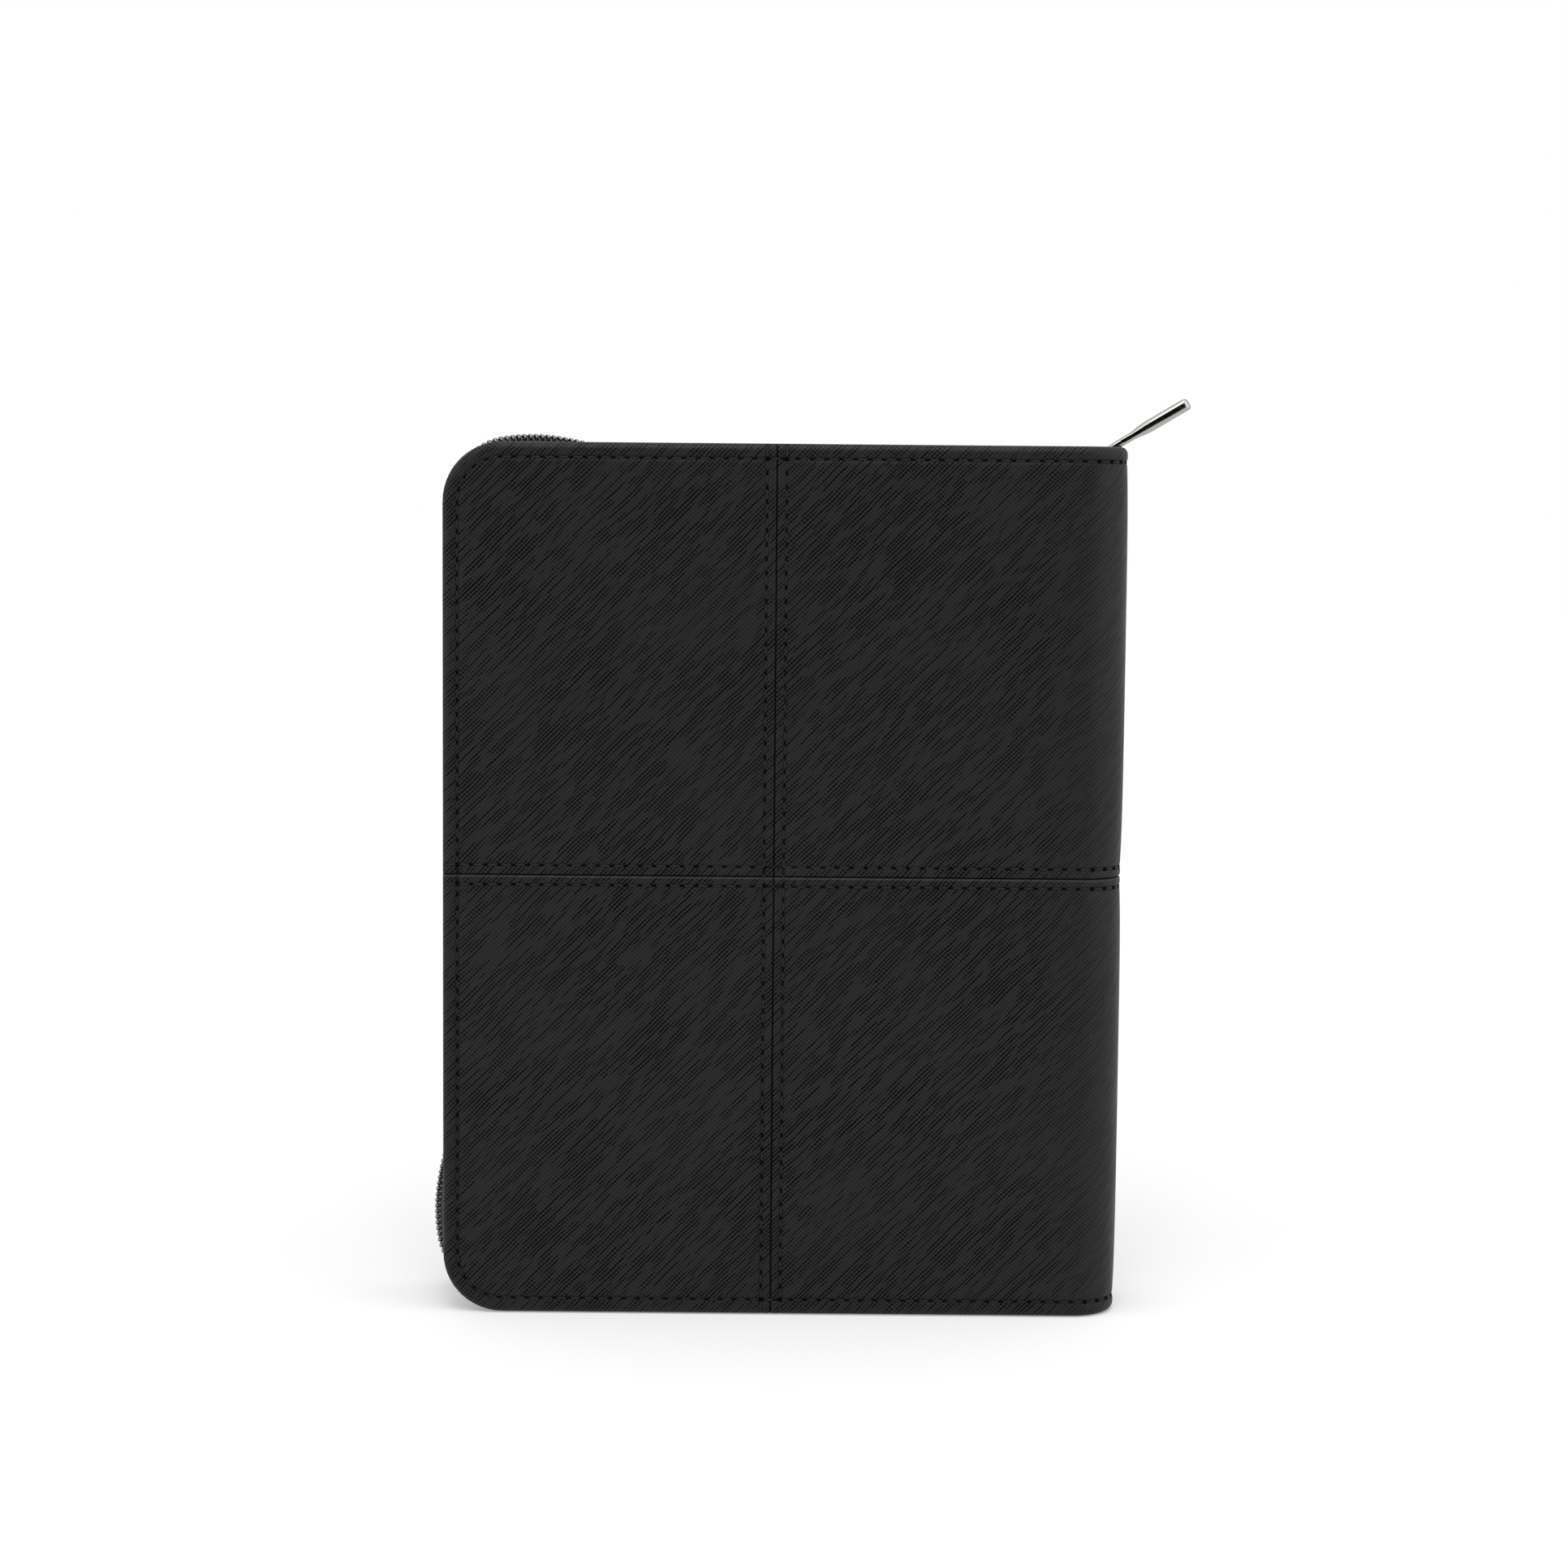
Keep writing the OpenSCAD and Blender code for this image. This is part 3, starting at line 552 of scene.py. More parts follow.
def cross_grain_group(name):
    """Pressed cross grain: rows of pits on a slope, wandering a little and fading in streaks."""
    tree, get = new_tree(name, "ShaderNodeTree", [("Vector", "Vector"), ("Pitch", "Float", 0.86),
                                                  ("Angle", "Float", 0.68), ("Streak", "Float", 0.7)],
                         [("Height", "Float"), ("Pits", "Float"), ("Ridges", "Float")])
    # rows and cross rows, with a slow drift and a wander along each row
    drift = add(tree, "ShaderNodeTexNoise", Vector=get["Vector"], Scale=0.05, Detail=2.0)
    shift = add(tree, "ShaderNodeVectorMath", {"operation": "MULTIPLY_ADD"}, i0=drift.outputs["Color"],
                i1=(1.6, 1.6, 0), i2=get["Vector"])
    turned = add(tree, "ShaderNodeVectorRotate", {"rotation_type": "Z_AXIS"}, Vector=shift,
                 Angle=get["Angle"] * -1.0)
    x, y, _ = split(tree, turned)
    along = x / (get["Pitch"] * 1.12)
    uneven = add(tree, "ShaderNodeVectorMath", {"operation": "MULTIPLY"}, i0=turned, i1=(0.012, 0.5, 0))
    across = noise(tree, uneven, 1.0, 1.0).do("MULTIPLY_ADD", 0.7, y / get["Pitch"])
    row = wave(across, 0.4)
    cross = wave(across.do("MULTIPLY_ADD", 0.12, along), 0.38)
    # streaks along single rows, in areas
    spot = add(tree, "ShaderNodeCombineXYZ", X=x * 0.11, Y=(across + 0.5).do("FLOOR") * 3.7)
    streak = ease(tree, noise(tree, spot, 1.0, 2.0, Roughness=0.5), 0.43, 0.55, 1.0 - get["Streak"], 1.0)
    area = add(tree, "ShaderNodeMapRange", Value=noise(tree, get["Vector"], 0.03, 1.0), From_Min=0.3,
               From_Max=0.65, To_Min=0.6, To_Max=1.0)
    deep = (row * cross).do("MULTIPLY_ADD", 0.75, row * 0.55)
    deep = (streak * area * deep).do("MINIMUM", 1.0)
    low = row.do("MULTIPLY_ADD", 0.4, cross.do("MULTIPLY_ADD", 0.2, deep * 0.6))
    ridges = (1.0 - row) * cross.do("MULTIPLY_ADD", -0.5, 1.0)
    add(tree, "NodeGroupOutput", Height=1.0 - low, Pits=deep, Ridges=ridges)
    return tree


def weave_group(name):
    """Plain weave from two sets of threads, with a little unevenness."""
    tree, get = new_tree(name, "ShaderNodeTree", [("Vector", "Vector"), ("Warp", "Float", 0.4),
                                                  ("Weft", "Float", 0.4), ("Twill", "Float", 0.0)],
                         [("Height", "Float"), ("Gaps", "Float"), ("Fleck", "Float")])
    x, y, _ = split(tree, get["Vector"])
    u = x / get["Warp"]
    step = u.do("FLOOR")
    v = step.do("MULTIPLY_ADD", get["Twill"], y / get["Weft"])
    over = (step + v.do("FLOOR")).do("MODULO", 2.0).do("ABSOLUTE")
    warp, weft = ((run * math.pi).do("SINE").do("ABSOLUTE") for run in (u, v))
    high = warp * over.do("MULTIPLY_ADD", 0.6, 0.4)
    height = high.do("MAXIMUM", weft * over.do("MULTIPLY_ADD", -0.6, 1.0))
    add(tree, "NodeGroupOutput", Height=height, Gaps=1.0 - height, Fleck=noise(tree, get["Vector"], 0.9, 3.0))
    return tree


def handling_group(name):
    """Slight smears and fine specks from handling."""
    tree, get = new_tree(name, "ShaderNodeTree", [("Vector", "Vector"), ("Smear", "Float", 60.0),
                                                  ("Speck", "Float", 900.0)],
                         [("Smears", "Float"), ("Specks", "Float")])
    smear = noise(tree, get["Vector"], get["Smear"], 4.0, Roughness=0.55)
    add(tree, "NodeGroupOutput", Smears=smear, Specks=noise(tree, get["Vector"], get["Speck"], 2.0))
    return tree


class Finish:
    """A Principled material in the making."""

    def __init__(self, name, **sockets):
        self.material = bpy.data.materials.new(name)
        self.material.use_nodes = True
        self.tree = self.material.node_tree
        self.shader = self.tree.nodes["Principled BSDF"]
        for label, value in sockets.items():
            self.shader.inputs[label.replace("_", " ")].default_value = value

    def surface(self):
        """The piece's own UV map, in mm."""
        uv = add(self.tree, "ShaderNodeUVMap", {"uv_map": "Surface"})
        return self.scaled(uv, (UV_MM, UV_MM, UV_MM))

    def place(self):
        """The place on the piece, in m."""
        return taps(self.tree, self.tree.nodes.new("ShaderNodeTexCoord"))["Object"]

    def scaled(self, place, shares):
        """A place with each of its axes scaled."""
        return add(self.tree, "ShaderNodeVectorMath", {"operation": "MULTIPLY"}, i0=place, i1=shares)

    def mask(self, label):
        """A value stored on the mesh."""
        return taps(self.tree, add(self.tree, "ShaderNodeAttribute", {"attribute_name": label}))["Fac"]

    def use(self, name, maker, **inputs):
        """Outputs of a node group."""
        return taps(self.tree, add(self.tree, "ShaderNodeGroup", {"node_tree": group(name, maker)}, **inputs))

    def marks(self, smear, speck, place=None):
        """Smears and specks at two scales."""
        return self.use("Handling", handling_group, Vector=place or self.place(), Smear=smear, Speck=speck)

    def mix(self, factor, a, b):
        """Colour a where the factor is 0 and b where it is 1."""
        a, b = (c if isinstance(c, bpy.types.NodeSocket) else (*c, 1) for c in (a, b))
        return add(self.tree, "ShaderNodeMix", {"data_type": "RGBA"}, i0=factor, i6=a, i7=b).outputs[2]

    def between(self, value, low, high, from_low=0.0, from_high=1.0):
        """A value carried over to the range from low to high."""
        span = add(self.tree, "ShaderNodeMapRange", Value=value, From_Min=from_low, From_Max=from_high,
                   To_Min=low, To_Max=high)
        return Sum(self.tree, span.outputs[0])

    def feed(self, label, value):
        """Links a value to an input of the shader."""
        link(self.tree, value, self.shader.inputs[label])

    def bump(self, height, strength, distance, **under):
        """Bumps of a distance in mm, on top of the Normal that is given."""
        node = add(self.tree, "ShaderNodeBump", Strength=strength, Distance=distance * MM, Height=height,
                   **under)
        self.feed("Normal", node)
        return node


# Materials

def finish(name, maker):
    """A material by name, made once."""
    return bpy.data.materials.get(name) or maker(name)


def cover_leather(name):
    s = looks("leather")
    f = Finish(name, Specular_IOR_Level=0.06, Coat_Roughness=0.44)
    grain = f.use("Cross grain", cross_grain_group, Vector=f.surface(), Pitch=s.grain, Angle=s.grain_turn,
                  Streak=0.8)
    marks = f.marks(22.0, 1500.0)
    wear_and_painted_highlight = f.between(marks["Smears"], 0.0, 1.0, 0.3, 0.7)
    face = f.mix(wear_and_painted_highlight, toned(s.colour, 0.85), toned(s.colour, 1.15))
    # painted highlight: the tops of the grain between the pits are twice as light, standing in for the light
    # they catch
    face = f.mix(grain["Ridges"], face, toned(s.colour, 2.0))
    # pits are stretched flat where the leather bends
    calm = f.between(f.mask("fold"), 1.0, 0.4)
    pits = f.between(grain["Pits"], 0.0, 1.0, 0.0, 0.68) * calm
    # painted shade: the sewn grooves and seams get the near-black pit colour, standing in for the shade that
    # falls in them
    dark = pits.do("MAXIMUM", f.mask("crease"))
    # the pits and grooves take the pit colour: painted shade in the recesses of the grain
    face = f.mix(dark, face, s.pit_shade_colour)
    # painted highlight: four times lighter along the lower side of the cross seam
    f.feed("Base Color", f.mix(f.mask("rub"), face, toned(s.colour, 4.0)))
    f.feed("Roughness", dark.do("MULTIPLY_ADD", 0.55, f.between(marks["Smears"], 0.40, 0.50, 0.3, 0.7)))
    f.feed("Coat Weight", f.between(dark, s.shine, 0.0))
    fine = f.bump(marks["Specks"], 0.12, 0.05)
    f.bump(grain["Height"], 1.0, 0.22, Normal=fine)
    return f.material


def pocket_leather(name):
    f = Finish(name, Specular_IOR_Level=0.35)
    grain = f.use("Cross grain", cross_grain_group, Vector=f.surface(), Pitch=0.62, Angle=0.7, Streak=0.3)
    marks = f.marks(30.0, 1200.0)
    # painted shade: the grain's pits are darker, standing in for the shade in them
    f.feed("Base Color", f.mix(grain["Pits"], (0.015, 0.015, 0.0155), (0.006, 0.006, 0.006)))
    f.feed("Roughness", f.between(marks["Smears"], 0.42, 0.55, 0.3, 0.7))
    f.bump(grain["Height"], 0.5, 0.06)
    return f.material


def sewing_thread(name):
    f = Finish(name, Specular_IOR_Level=0.25, Sheen_Weight=0.1)
    marks = f.marks(800.0, 4000.0)
    f.feed("Base Color", f.mix(marks["Smears"], (0.006, 0.006, 0.006), (0.013, 0.013, 0.013)))
    f.feed("Roughness", f.between(marks["Specks"], 0.5, 0.75))
    f.bump(marks["Specks"], 0.4, 0.05)
    return f.material


def needle_hole(name):
    # painted shade: the near-black colour stands in for the shade inside a needle hole
    f = Finish(name, Specular_IOR_Level=0.05, Roughness=0.9)
    marks = f.marks(500.0, 3000.0)
    f.feed("Base Color", f.mix(marks["Smears"], (0.0006, 0.0006, 0.0006), (0.0022, 0.0022, 0.0022)))
    return f.material


def woven(name, low, high, warp, weft, twill, bump):
    f = Finish(name, Specular_IOR_Level=0.2, Sheen_Weight=0.15, Sheen_Roughness=0.5)
    cloth = f.use("Weave", weave_group, Vector=f.surface(), Warp=warp, Weft=weft, Twill=twill)
    tint = f.mix(cloth["Fleck"], low, high)
    # painted shade: the gaps between the threads are darker, standing in for the shade between them
    f.feed("Base Color", f.mix(f.between(cloth["Gaps"], 0.0, 0.8), tint, toned(low, 0.35)))
    f.feed("Roughness", f.between(cloth["Fleck"], 0.7, 0.95))
    f.bump(cloth["Height"], 0.6, bump)
    return f.material


def zip_tape_cloth(name):
    c = looks("zip").tape_colour
    return woven(name, toned(c, 0.75), toned(c, 1.3), 0.45, 0.7, 0.5, 0.12)


def lining_cloth(name):
    c = looks("inside").lining_colour
    return woven(name, toned(c, 0.8), toned(c, 1.35), 0.5, 0.5, 0.0, 0.1)


def elastic_cloth(name):
    return woven(name, (0.011, 0.011, 0.012), (0.02, 0.02, 0.021), 1.1, 0.35, 0.0, 0.2)


def coil_nylon(name):
    c = tuple(looks("zip").colour)
    f = Finish(name, Specular_IOR_Level=0.6)
    marks = f.marks(300.0, 3000.0)
    # painted highlight: the outward crest of each bead turns pale grey, standing in for the light that the
    # glossy nylon catches
    wear_and_painted_highlight = f.between(f.mask("ridge"), 0.0, 1.0, 0.84, 1.0)
    dull = f.mix(marks["Smears"], toned(c, 0.5), toned(c, 0.9))
    f.feed("Base Color", f.mix(wear_and_painted_highlight, dull, (0.62, 0.61, 0.59)))
    f.feed("Roughness", f.between(marks["Smears"], 0.18, 0.28, 0.3, 0.7))
    f.bump(marks["Specks"], 0.08, 0.02)
    return f.material


def metal(name, colour, rough_low, rough_high, brushed=False):
    f = Finish(name, Metallic=1.0, Specular_Tint=(0.45, 0.44, 0.42, 1))
    place = f.place()
    if brushed:
        place = f.scaled(place, (8, 8, 0.25))
    marks = f.marks(140.0, 2600.0, place)
    f.feed("Base Color", f.mix(marks["Smears"], toned(colour, 0.9), toned(colour, 1.08)))
    f.feed("Roughness", f.between(marks["Smears"], rough_low, rough_high, 0.3, 0.7))
    f.bump(marks["Specks"], 0.05 if brushed else 0.012, 0.02)
    return f.material


def polished_nickel(name):
    return metal(name, tuple(looks("metal").nickel), 0.07, 0.16)


def plain_steel(name):
    return metal(name, tuple(looks("metal").steel), 0.22, 0.38, True)


def within(value, middle, reach):
    """1 where a value is nearer to a middle than a reach."""
    return (value - middle).do("ABSOLUTE").do("LESS_THAN", reach)


# Ruling of a leaf in m: middle and reach of the lines, up the leaf and across it, and of the margin line.
LINES_UP = ((HEIGHT / 2 - 3) * MM, 0.089)
LINES_ACROSS = (-0.102, 0.062)
MARGIN = (-0.046, 0.0003)


def ruled_paper(name):
    s = looks("inside")
    f = Finish(name, Specular_IOR_Level=0.2)
    place = f.place()
    x, _, z = split(f.tree, place)
    fibre = f.marks(70.0, 2500.0, place)
    paper = f.mix(fibre["Specks"], toned(s.paper_colour, 0.95), toned(s.paper_colour, 1.04))
    line = (z / (s.line_pitch * MM)).do("PINGPONG", 0.5).do("LESS_THAN", 0.028)
    inside = within(z, *LINES_UP)
    ink = line * inside * within(x, *LINES_ACROSS)
    ink = ink.do("MAXIMUM", within(x, *MARGIN) * inside)
    # ink lies on the two faces of a leaf, not on its edges
    _, facing, _ = split(f.tree, f.tree.nodes.new("ShaderNodeNewGeometry").outputs["True Normal"])
    ink = ink * facing.do("ABSOLUTE").do("GREATER_THAN", 0.8)
    f.feed("Base Color", f.mix(ink * 0.75, paper, (0.30, 0.35, 0.42)))
    f.feed("Roughness", f.between(fibre["Smears"], 0.75, 0.9))
    f.bump(fibre["Specks"], 0.1, 0.03)
    return f.material


def index_card(name):
    s = looks("inside")
    f = Finish(name, Specular_IOR_Level=0.3)
    fibre = f.marks(120.0, 1800.0)
    tint = f.mix(fibre["Smears"], toned(s.index_colour, 0.88), toned(s.index_colour, 1.12))
    fleck = f.between(fibre["Specks"], 0.0, 0.4, 0.45, 0.75)
    f.feed("Base Color", f.mix(fleck, tint, toned(s.index_colour, 0.6)))
    f.feed("Roughness", f.between(fibre["Smears"], 0.45, 0.65))
    f.bump(fibre["Specks"], 0.15, 0.04)
    return f.material


def grey_board(name):
    f = Finish(name, Specular_IOR_Level=0.2)
    fibre = f.marks(200.0, 1500.0)
    f.feed("Base Color", f.mix(fibre["Specks"], (0.19, 0.15, 0.10), (0.30, 0.24, 0.17)))
    f.feed("Roughness", f.between(fibre["Smears"], 0.8, 0.95))
    f.bump(fibre["Specks"], 0.3, 0.08)
    return f.material


# Cover leather

# Rows of points in from the rolled edge and the seams; hem rows are (in from the edge, below the face).
ROLL_ROWS = [ROLL_R * (1 - math.cos(math.radians(a))) for a in range(0, 91, 15)]
EDGE_ROWS = ROLL_ROWS + [2.2, 2.8, 3.3, 3.6, 3.85, 4.1, 4.35, 4.7, 5.3, 6.5, 8.5, 11, 13.5]
SEAM_ROWS = [0.0, 0.1, 0.22, 0.36, 0.55, 0.8, 1.15, 1.6, 2.0, 2.3, 2.55, 2.8, 3.1, 3.6, 4.5, 6, 8, 10.5]
HEM_ROWS = [(0.0, 2.3), (0.0, 3.0), (0.15, 3.55), (0.55, 3.75), (1.25, 3.8), (2.6, 3.75), (5.0, 3.7),
            (9.5, 3.7)]
ROW_STEP = 3.0
EDGE_SWELL = 0.16
SEAM_DEPTH, SEAM_WIDTH, SEAM_SWELL = 0.42, 0.26, 0.08
RIPPLE = 0.07
LEATHER_T = 1.0
TURN_IN = (3, 4)


def leather_drop(across, along, edge):
    """How far the leather lies below the flat face, from its distances to the seams and to the edge."""
    s = looks("leather")
    edge = np.asarray(edge, float)
    roll = np.sqrt(np.clip(ROLL_R ** 2 - np.clip(ROLL_R - edge, 0, ROLL_R) ** 2, 0, None))
    drop = ROLL_R - roll
    drop = drop - EDGE_SWELL * arch(edge - 0.9, s.hem - 1.0)
    drop = drop + s.groove * dent(edge - s.hem, 0.5)
    for seam in (across, along):
        drop = drop + SEAM_DEPTH * dent(seam, SEAM_WIDTH) - SEAM_SWELL * arch(seam - 0.3, s.seam - 0.6)
        drop = drop + 0.8 * s.groove * dent(seam - s.seam, 0.45)
    field = np.clip(np.minimum(np.minimum(edge - s.hem, across - s.seam), along - s.seam) - 0.4, 0, None)
    return drop - s.crown * (1 - np.exp(-field / 10))


def leather_masks(across, along, edge, upper):
    """Painted shade in the sewn grooves and seams, and a painted highlight along the lower side of the cross
    seam.
    """
    s = looks("leather")
    shade = 0.8 * dent(edge - s.hem, 0.55)
    for seam in (across, along):
        shade = np.maximum(shade, 0.75 * dent(seam - s.seam, 0.5))
        shade = np.maximum(shade, 0.9 * dent(seam, 0.2))
    # painted highlight: a lighter band just below the cross seam on the lower panels, where the leather turns
    # up towards the light
    rub = dent(along - 0.4, 0.22) * (0 if upper else 1)
    return {"crease": (shade * (1 - rub)).ravel(), "rub": rub.ravel()}


def wrap_section(run):
    """Place and outward direction over the spine, by the run from the upright seam. Y is off the middle."""
    turn = np.clip((run - FLAT) / FOLD_R, 0, math.pi / 2)
    rest = np.clip(run - FLAT - ARC, 0, None)
    x = SEAM_X + np.minimum(run, FLAT) + FOLD_R * np.sin(turn)
    y = Y_FACE - FOLD_R + FOLD_R * np.cos(turn) - rest
    return x, y, np.sin(turn), np.cos(turn)


def leather_place(side, outer, u, rise, drop):
    """A point on the leather: u from the upright seam, rise above the cross seam, drop below the face."""
    u, rise, drop = np.broadcast_arrays(u, rise, drop)
    if outer:
        x, y, nx, ny = SEAM_X - u, Y_FACE + 0 * u, 0 * u, 1 + 0 * u
    else:
        x, y, nx, ny = wrap_section(u)
    point = np.stack([x - nx * drop, side * (y - ny * drop), SEAM_Z + rise], axis=-1)
    return point, np.stack([nx, side * ny, 0 * nx], axis=-1)


def panel_size(outer, upper):
    """Width and height of a panel from its seams."""
    return (SEAM_X - X_FORE if outer else WRAP), (HEIGHT - SEAM_Z if upper else SEAM_Z)


def leather_panel(name, side, outer, upper):
    """One quarter of a cover; an inner one runs over the fold to the middle of the spine."""
    wide, high = panel_size(outer, upper)
    sign = 1 if upper else -1
    if outer:
        u = spread_rows(wide, SEAM_ROWS, EDGE_ROWS, ROW_STEP)
    else:
        bend = FLAT + np.linspace(0, wide - FLAT, 26)[1:]
        u = np.concatenate([spread_rows(FLAT, SEAM_ROWS, [0.0], ROW_STEP), bend])
    v = spread_rows(high, SEAM_ROWS, EDGE_ROWS, ROW_STEP)
    uu, vv = np.meshgrid(u, v, indexing="ij")
    e1, e2 = wide - uu, high - vv
    edge = np.minimum(e1, e2) if outer else e2
    calm = np.clip(edge / 12, 0, 1) * np.clip((FLAT - uu if not outer else uu) / 20, 0, 1)
    uneven = np.sin(uu / 15 + vv / 21 + side) * np.cos(vv / 13 - uu / 27) * calm
    drop = leather_drop(uu, vv, edge) + RIPPLE * uneven
    if outer:
        e1, e2 = round_corner(e1, e2, CORNER_R)
    points, facing = leather_place(side, outer, wide - e1, sign * (high - e2), drop)
    run = side * (WRAP + wide - e1 if outer else WRAP - uu)
    uv = np.stack([run, SEAM_Z + sign * (high - e2)], axis=-1)
    masks = leather_masks(uu, vv, edge, upper)
    fold = np.clip((uu - FLAT + 12) / 18, 0, 0 if outer else 1)
    masks["fold"] = np.maximum(fold, dent(edge, 1.3)).ravel()
    n, m = uu.shape
    faces = [grid_faces(n, m)]
    points, facing, uv = points.reshape(-1, 3), facing.reshape(-1, 3), uv.reshape(-1, 2)
    if outer:
        rim = [(n - 1) * m + j for j in range(m)] + [i * m + m - 1 for i in range(n - 2, -1, -1)]
        b1 = np.concatenate([np.zeros(m), wide - u[-2::-1]])
        b2 = np.concatenate([high - v, np.zeros(n - 1)])
        tail = np.concatenate([np.ones(m), np.zeros(n - 1)]), np.concatenate([np.zeros(m - 1), np.ones(n)])
    else:
        rim = [i * m + m - 1 for i in range(n)]
        b1, b2 = wide - u, np.zeros(n)
        tail = np.zeros(n), np.ones(n)
    last = np.array(rim)
    for inset, level in HEM_ROWS[:6] if outer else HEM_ROWS:
        h1, h2 = np.maximum(b1, inset if outer else 0), np.maximum(b2, inset)
        if outer:
            h1, h2 = round_corner(h1, h2, CORNER_R)
        hem, look = leather_place(side, outer, wide - h1, sign * (high - h2), level)
        around = uv[rim] + level * np.stack([side * tail[0], sign * tail[1]], axis=-1) * 0.8
        start = len(points)
        points = np.concatenate([points, hem])
        facing = np.concatenate([facing, look])
        uv = np.concatenate([uv, around])
        now = start + np.arange(len(rim))
        strip = np.stack([last[:-1], last[1:], now[1:], now[:-1]], axis=1)
        # an outer panel's rim runs the other way round from the grid's own rows
        faces.append(strip[:, ::-1] if outer else strip)
        last = now
    for key, values in masks.items():
        masks[key] = np.pad(values, (0, len(points) - n * m), constant_values=float(key == "fold"))
    obj = make_object(name, points, np.concatenate(faces), uv, facing, masks)
    thicken(obj, LEATHER_T)
    dress(obj, finish("Cover leather", cover_leather))
    return obj, (wide + TURN_IN[0], high + TURN_IN[1])


def fold_blend(obj, half, side):
    """Bakes a piece's place into its mesh."""
    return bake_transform(obj, "spine", half + "_cover", start=(X_SPINE * MM, side * (Y_FACE - FOLD_R) * MM, 0),
                    end=(X_EDGE * MM, side * Y_FACE * MM, 0))


class PLANNER_OT_covers(bpy.types.Operator):
    """Quartered cover leather, turned in at its edges and carried over the spine"""
    bl_idname = "planner.covers"
    bl_label = "Cover leather"

    def execute(self, context):
        for half, side in SIDES.items():
            for level, upper in (("upper", True), ("lower", False)):
                for part, outer in (("outer", True), ("inner", False)):
                    node = f"{half}_{level}_{part}"
                    obj, flat = leather_panel("leather_" + node, side, outer, upper)
                    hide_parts(node)
                    if outer:
                        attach(obj, half + "_cover")
                    else:
                        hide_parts("spine_skin_" + level)
                        fold_blend(obj, half, side)
                    flat[0] * MM
                    flat[1] * MM
        return {"FINISHED"}


# Sewn rows: step between points, start off the edge, lift off the surface and radius of a needle hole.
SEW_STEP = 0.7
SEW_START = 2.2
SEW_LIFT = 0.02
HOLE_R = 0.62


def stitch_rows(side, outer, upper):
    """Sewn rows of one panel, as points and facings."""
    s = looks("leather")
    wide, high = panel_size(outer, upper)
    sign = 1 if upper else -1
    rows = []

    def row(e1, e2, tidy):
        e1, e2 = np.broadcast_arrays(np.asarray(e1, float), np.asarray(e2, float))
        edge = np.minimum(e1, e2) if outer else e2
        drop = leather_drop(wide - e1, high - e2, edge) - SEW_LIFT
        if outer and tidy:
            e1, e2 = round_corner(e1, e2, CORNER_R)
        rows.append(leather_place(side, outer, wide - e1, sign * (high - e2), drop))

    if outer:
        up = np.arange(high, s.hem, -SEW_STEP)
        back = np.arange(s.hem, wide, SEW_STEP)
        row(np.concatenate([np.full(len(up), s.hem), back]),
            np.concatenate([up, np.full(len(back), s.hem)]), True)
        row(np.arange(SEW_START, wide, SEW_STEP), high - s.seam, False)
    else:
        over = np.arange(wide, -SEW_STEP / 2, -SEW_STEP).clip(0)
        row(over, s.hem, False)
        row(over, high - s.seam, False)
    row(wide - s.seam, np.arange(SEW_START, high, SEW_STEP), False)
    return rows


def sew(name, rows, tree):
    """Stitches along rows, as one piece."""
    s = looks("leather")
    obj = path_object(name, rows)
    run_tree(obj, tree, {"Stitch": s.stitch * MM, "Thread": s.thread * MM, "Hole": HOLE_R * MM,
                         "Thread finish": finish("Sewing thread", sewing_thread),
                         "Hole finish": finish("Needle hole", needle_hole)})
    return obj


class PLANNER_OT_stitching(bpy.types.Operator):
    """Sewn rows round the edges and along the seams of the covers"""
    bl_idname = "planner.stitching"
    bl_label = "Stitching"

    def execute(self, context):
        tree = group("Stitch rows", stitch_tree)
        for half, side in SIDES.items():
            for part, outer in (("outer", True), ("inner", False)):
                rows = stitch_rows(side, outer, True) + stitch_rows(side, outer, False)
                obj = sew(f"stitches_{half}_{part}", rows, tree)
                if outer:
                    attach(obj, half + "_cover")
                else:
                    fold_blend(obj, half, side)
        return {"FINISHED"}


# Zip

# Ends short of the spine edge, and places along the zip and widths of its two swells, in mm.
COIL_END = 16.0
TAPE_END = 7.0
HEAD_SWELL = (158.5, 71.0)
SIDE_SWELL = (-24.5, 70.0)
# One turn of the coil: half width, half depth, wire radius and lean, then its shift to its own tape.
COIL_SHAPE = {"Width": 1.1, "Depth": 0.65, "Wire": 0.49, "Slant": 0.45}
COIL_SHIFT = 0.95
COIL_BLUNT = 0.8
COIL_POINTS = 700
# Section of the tape: off the zip's plane, and from the middle of the case.
TAPE_SECTION = [(-7.0, 14.05), (-5.5, 14.0), (-3.5, 14.0), (-1.6, 14.0), (-0.7, 13.85), (-0.25, 13.4),
                (-0.1, 12.6), (-0.2, 11.0), (-0.35, 9.0), (-0.4, 7.0), (-0.3, 5.2), (-0.35, 3.8), (-0.4, 2.6),
                (-0.4, 1.2), (-0.2, 0.8), (0.15, 0.55)]
TAPE_LIFT = 0.94
TAPE_WANDER = 0.12
TAPE_T = 0.5


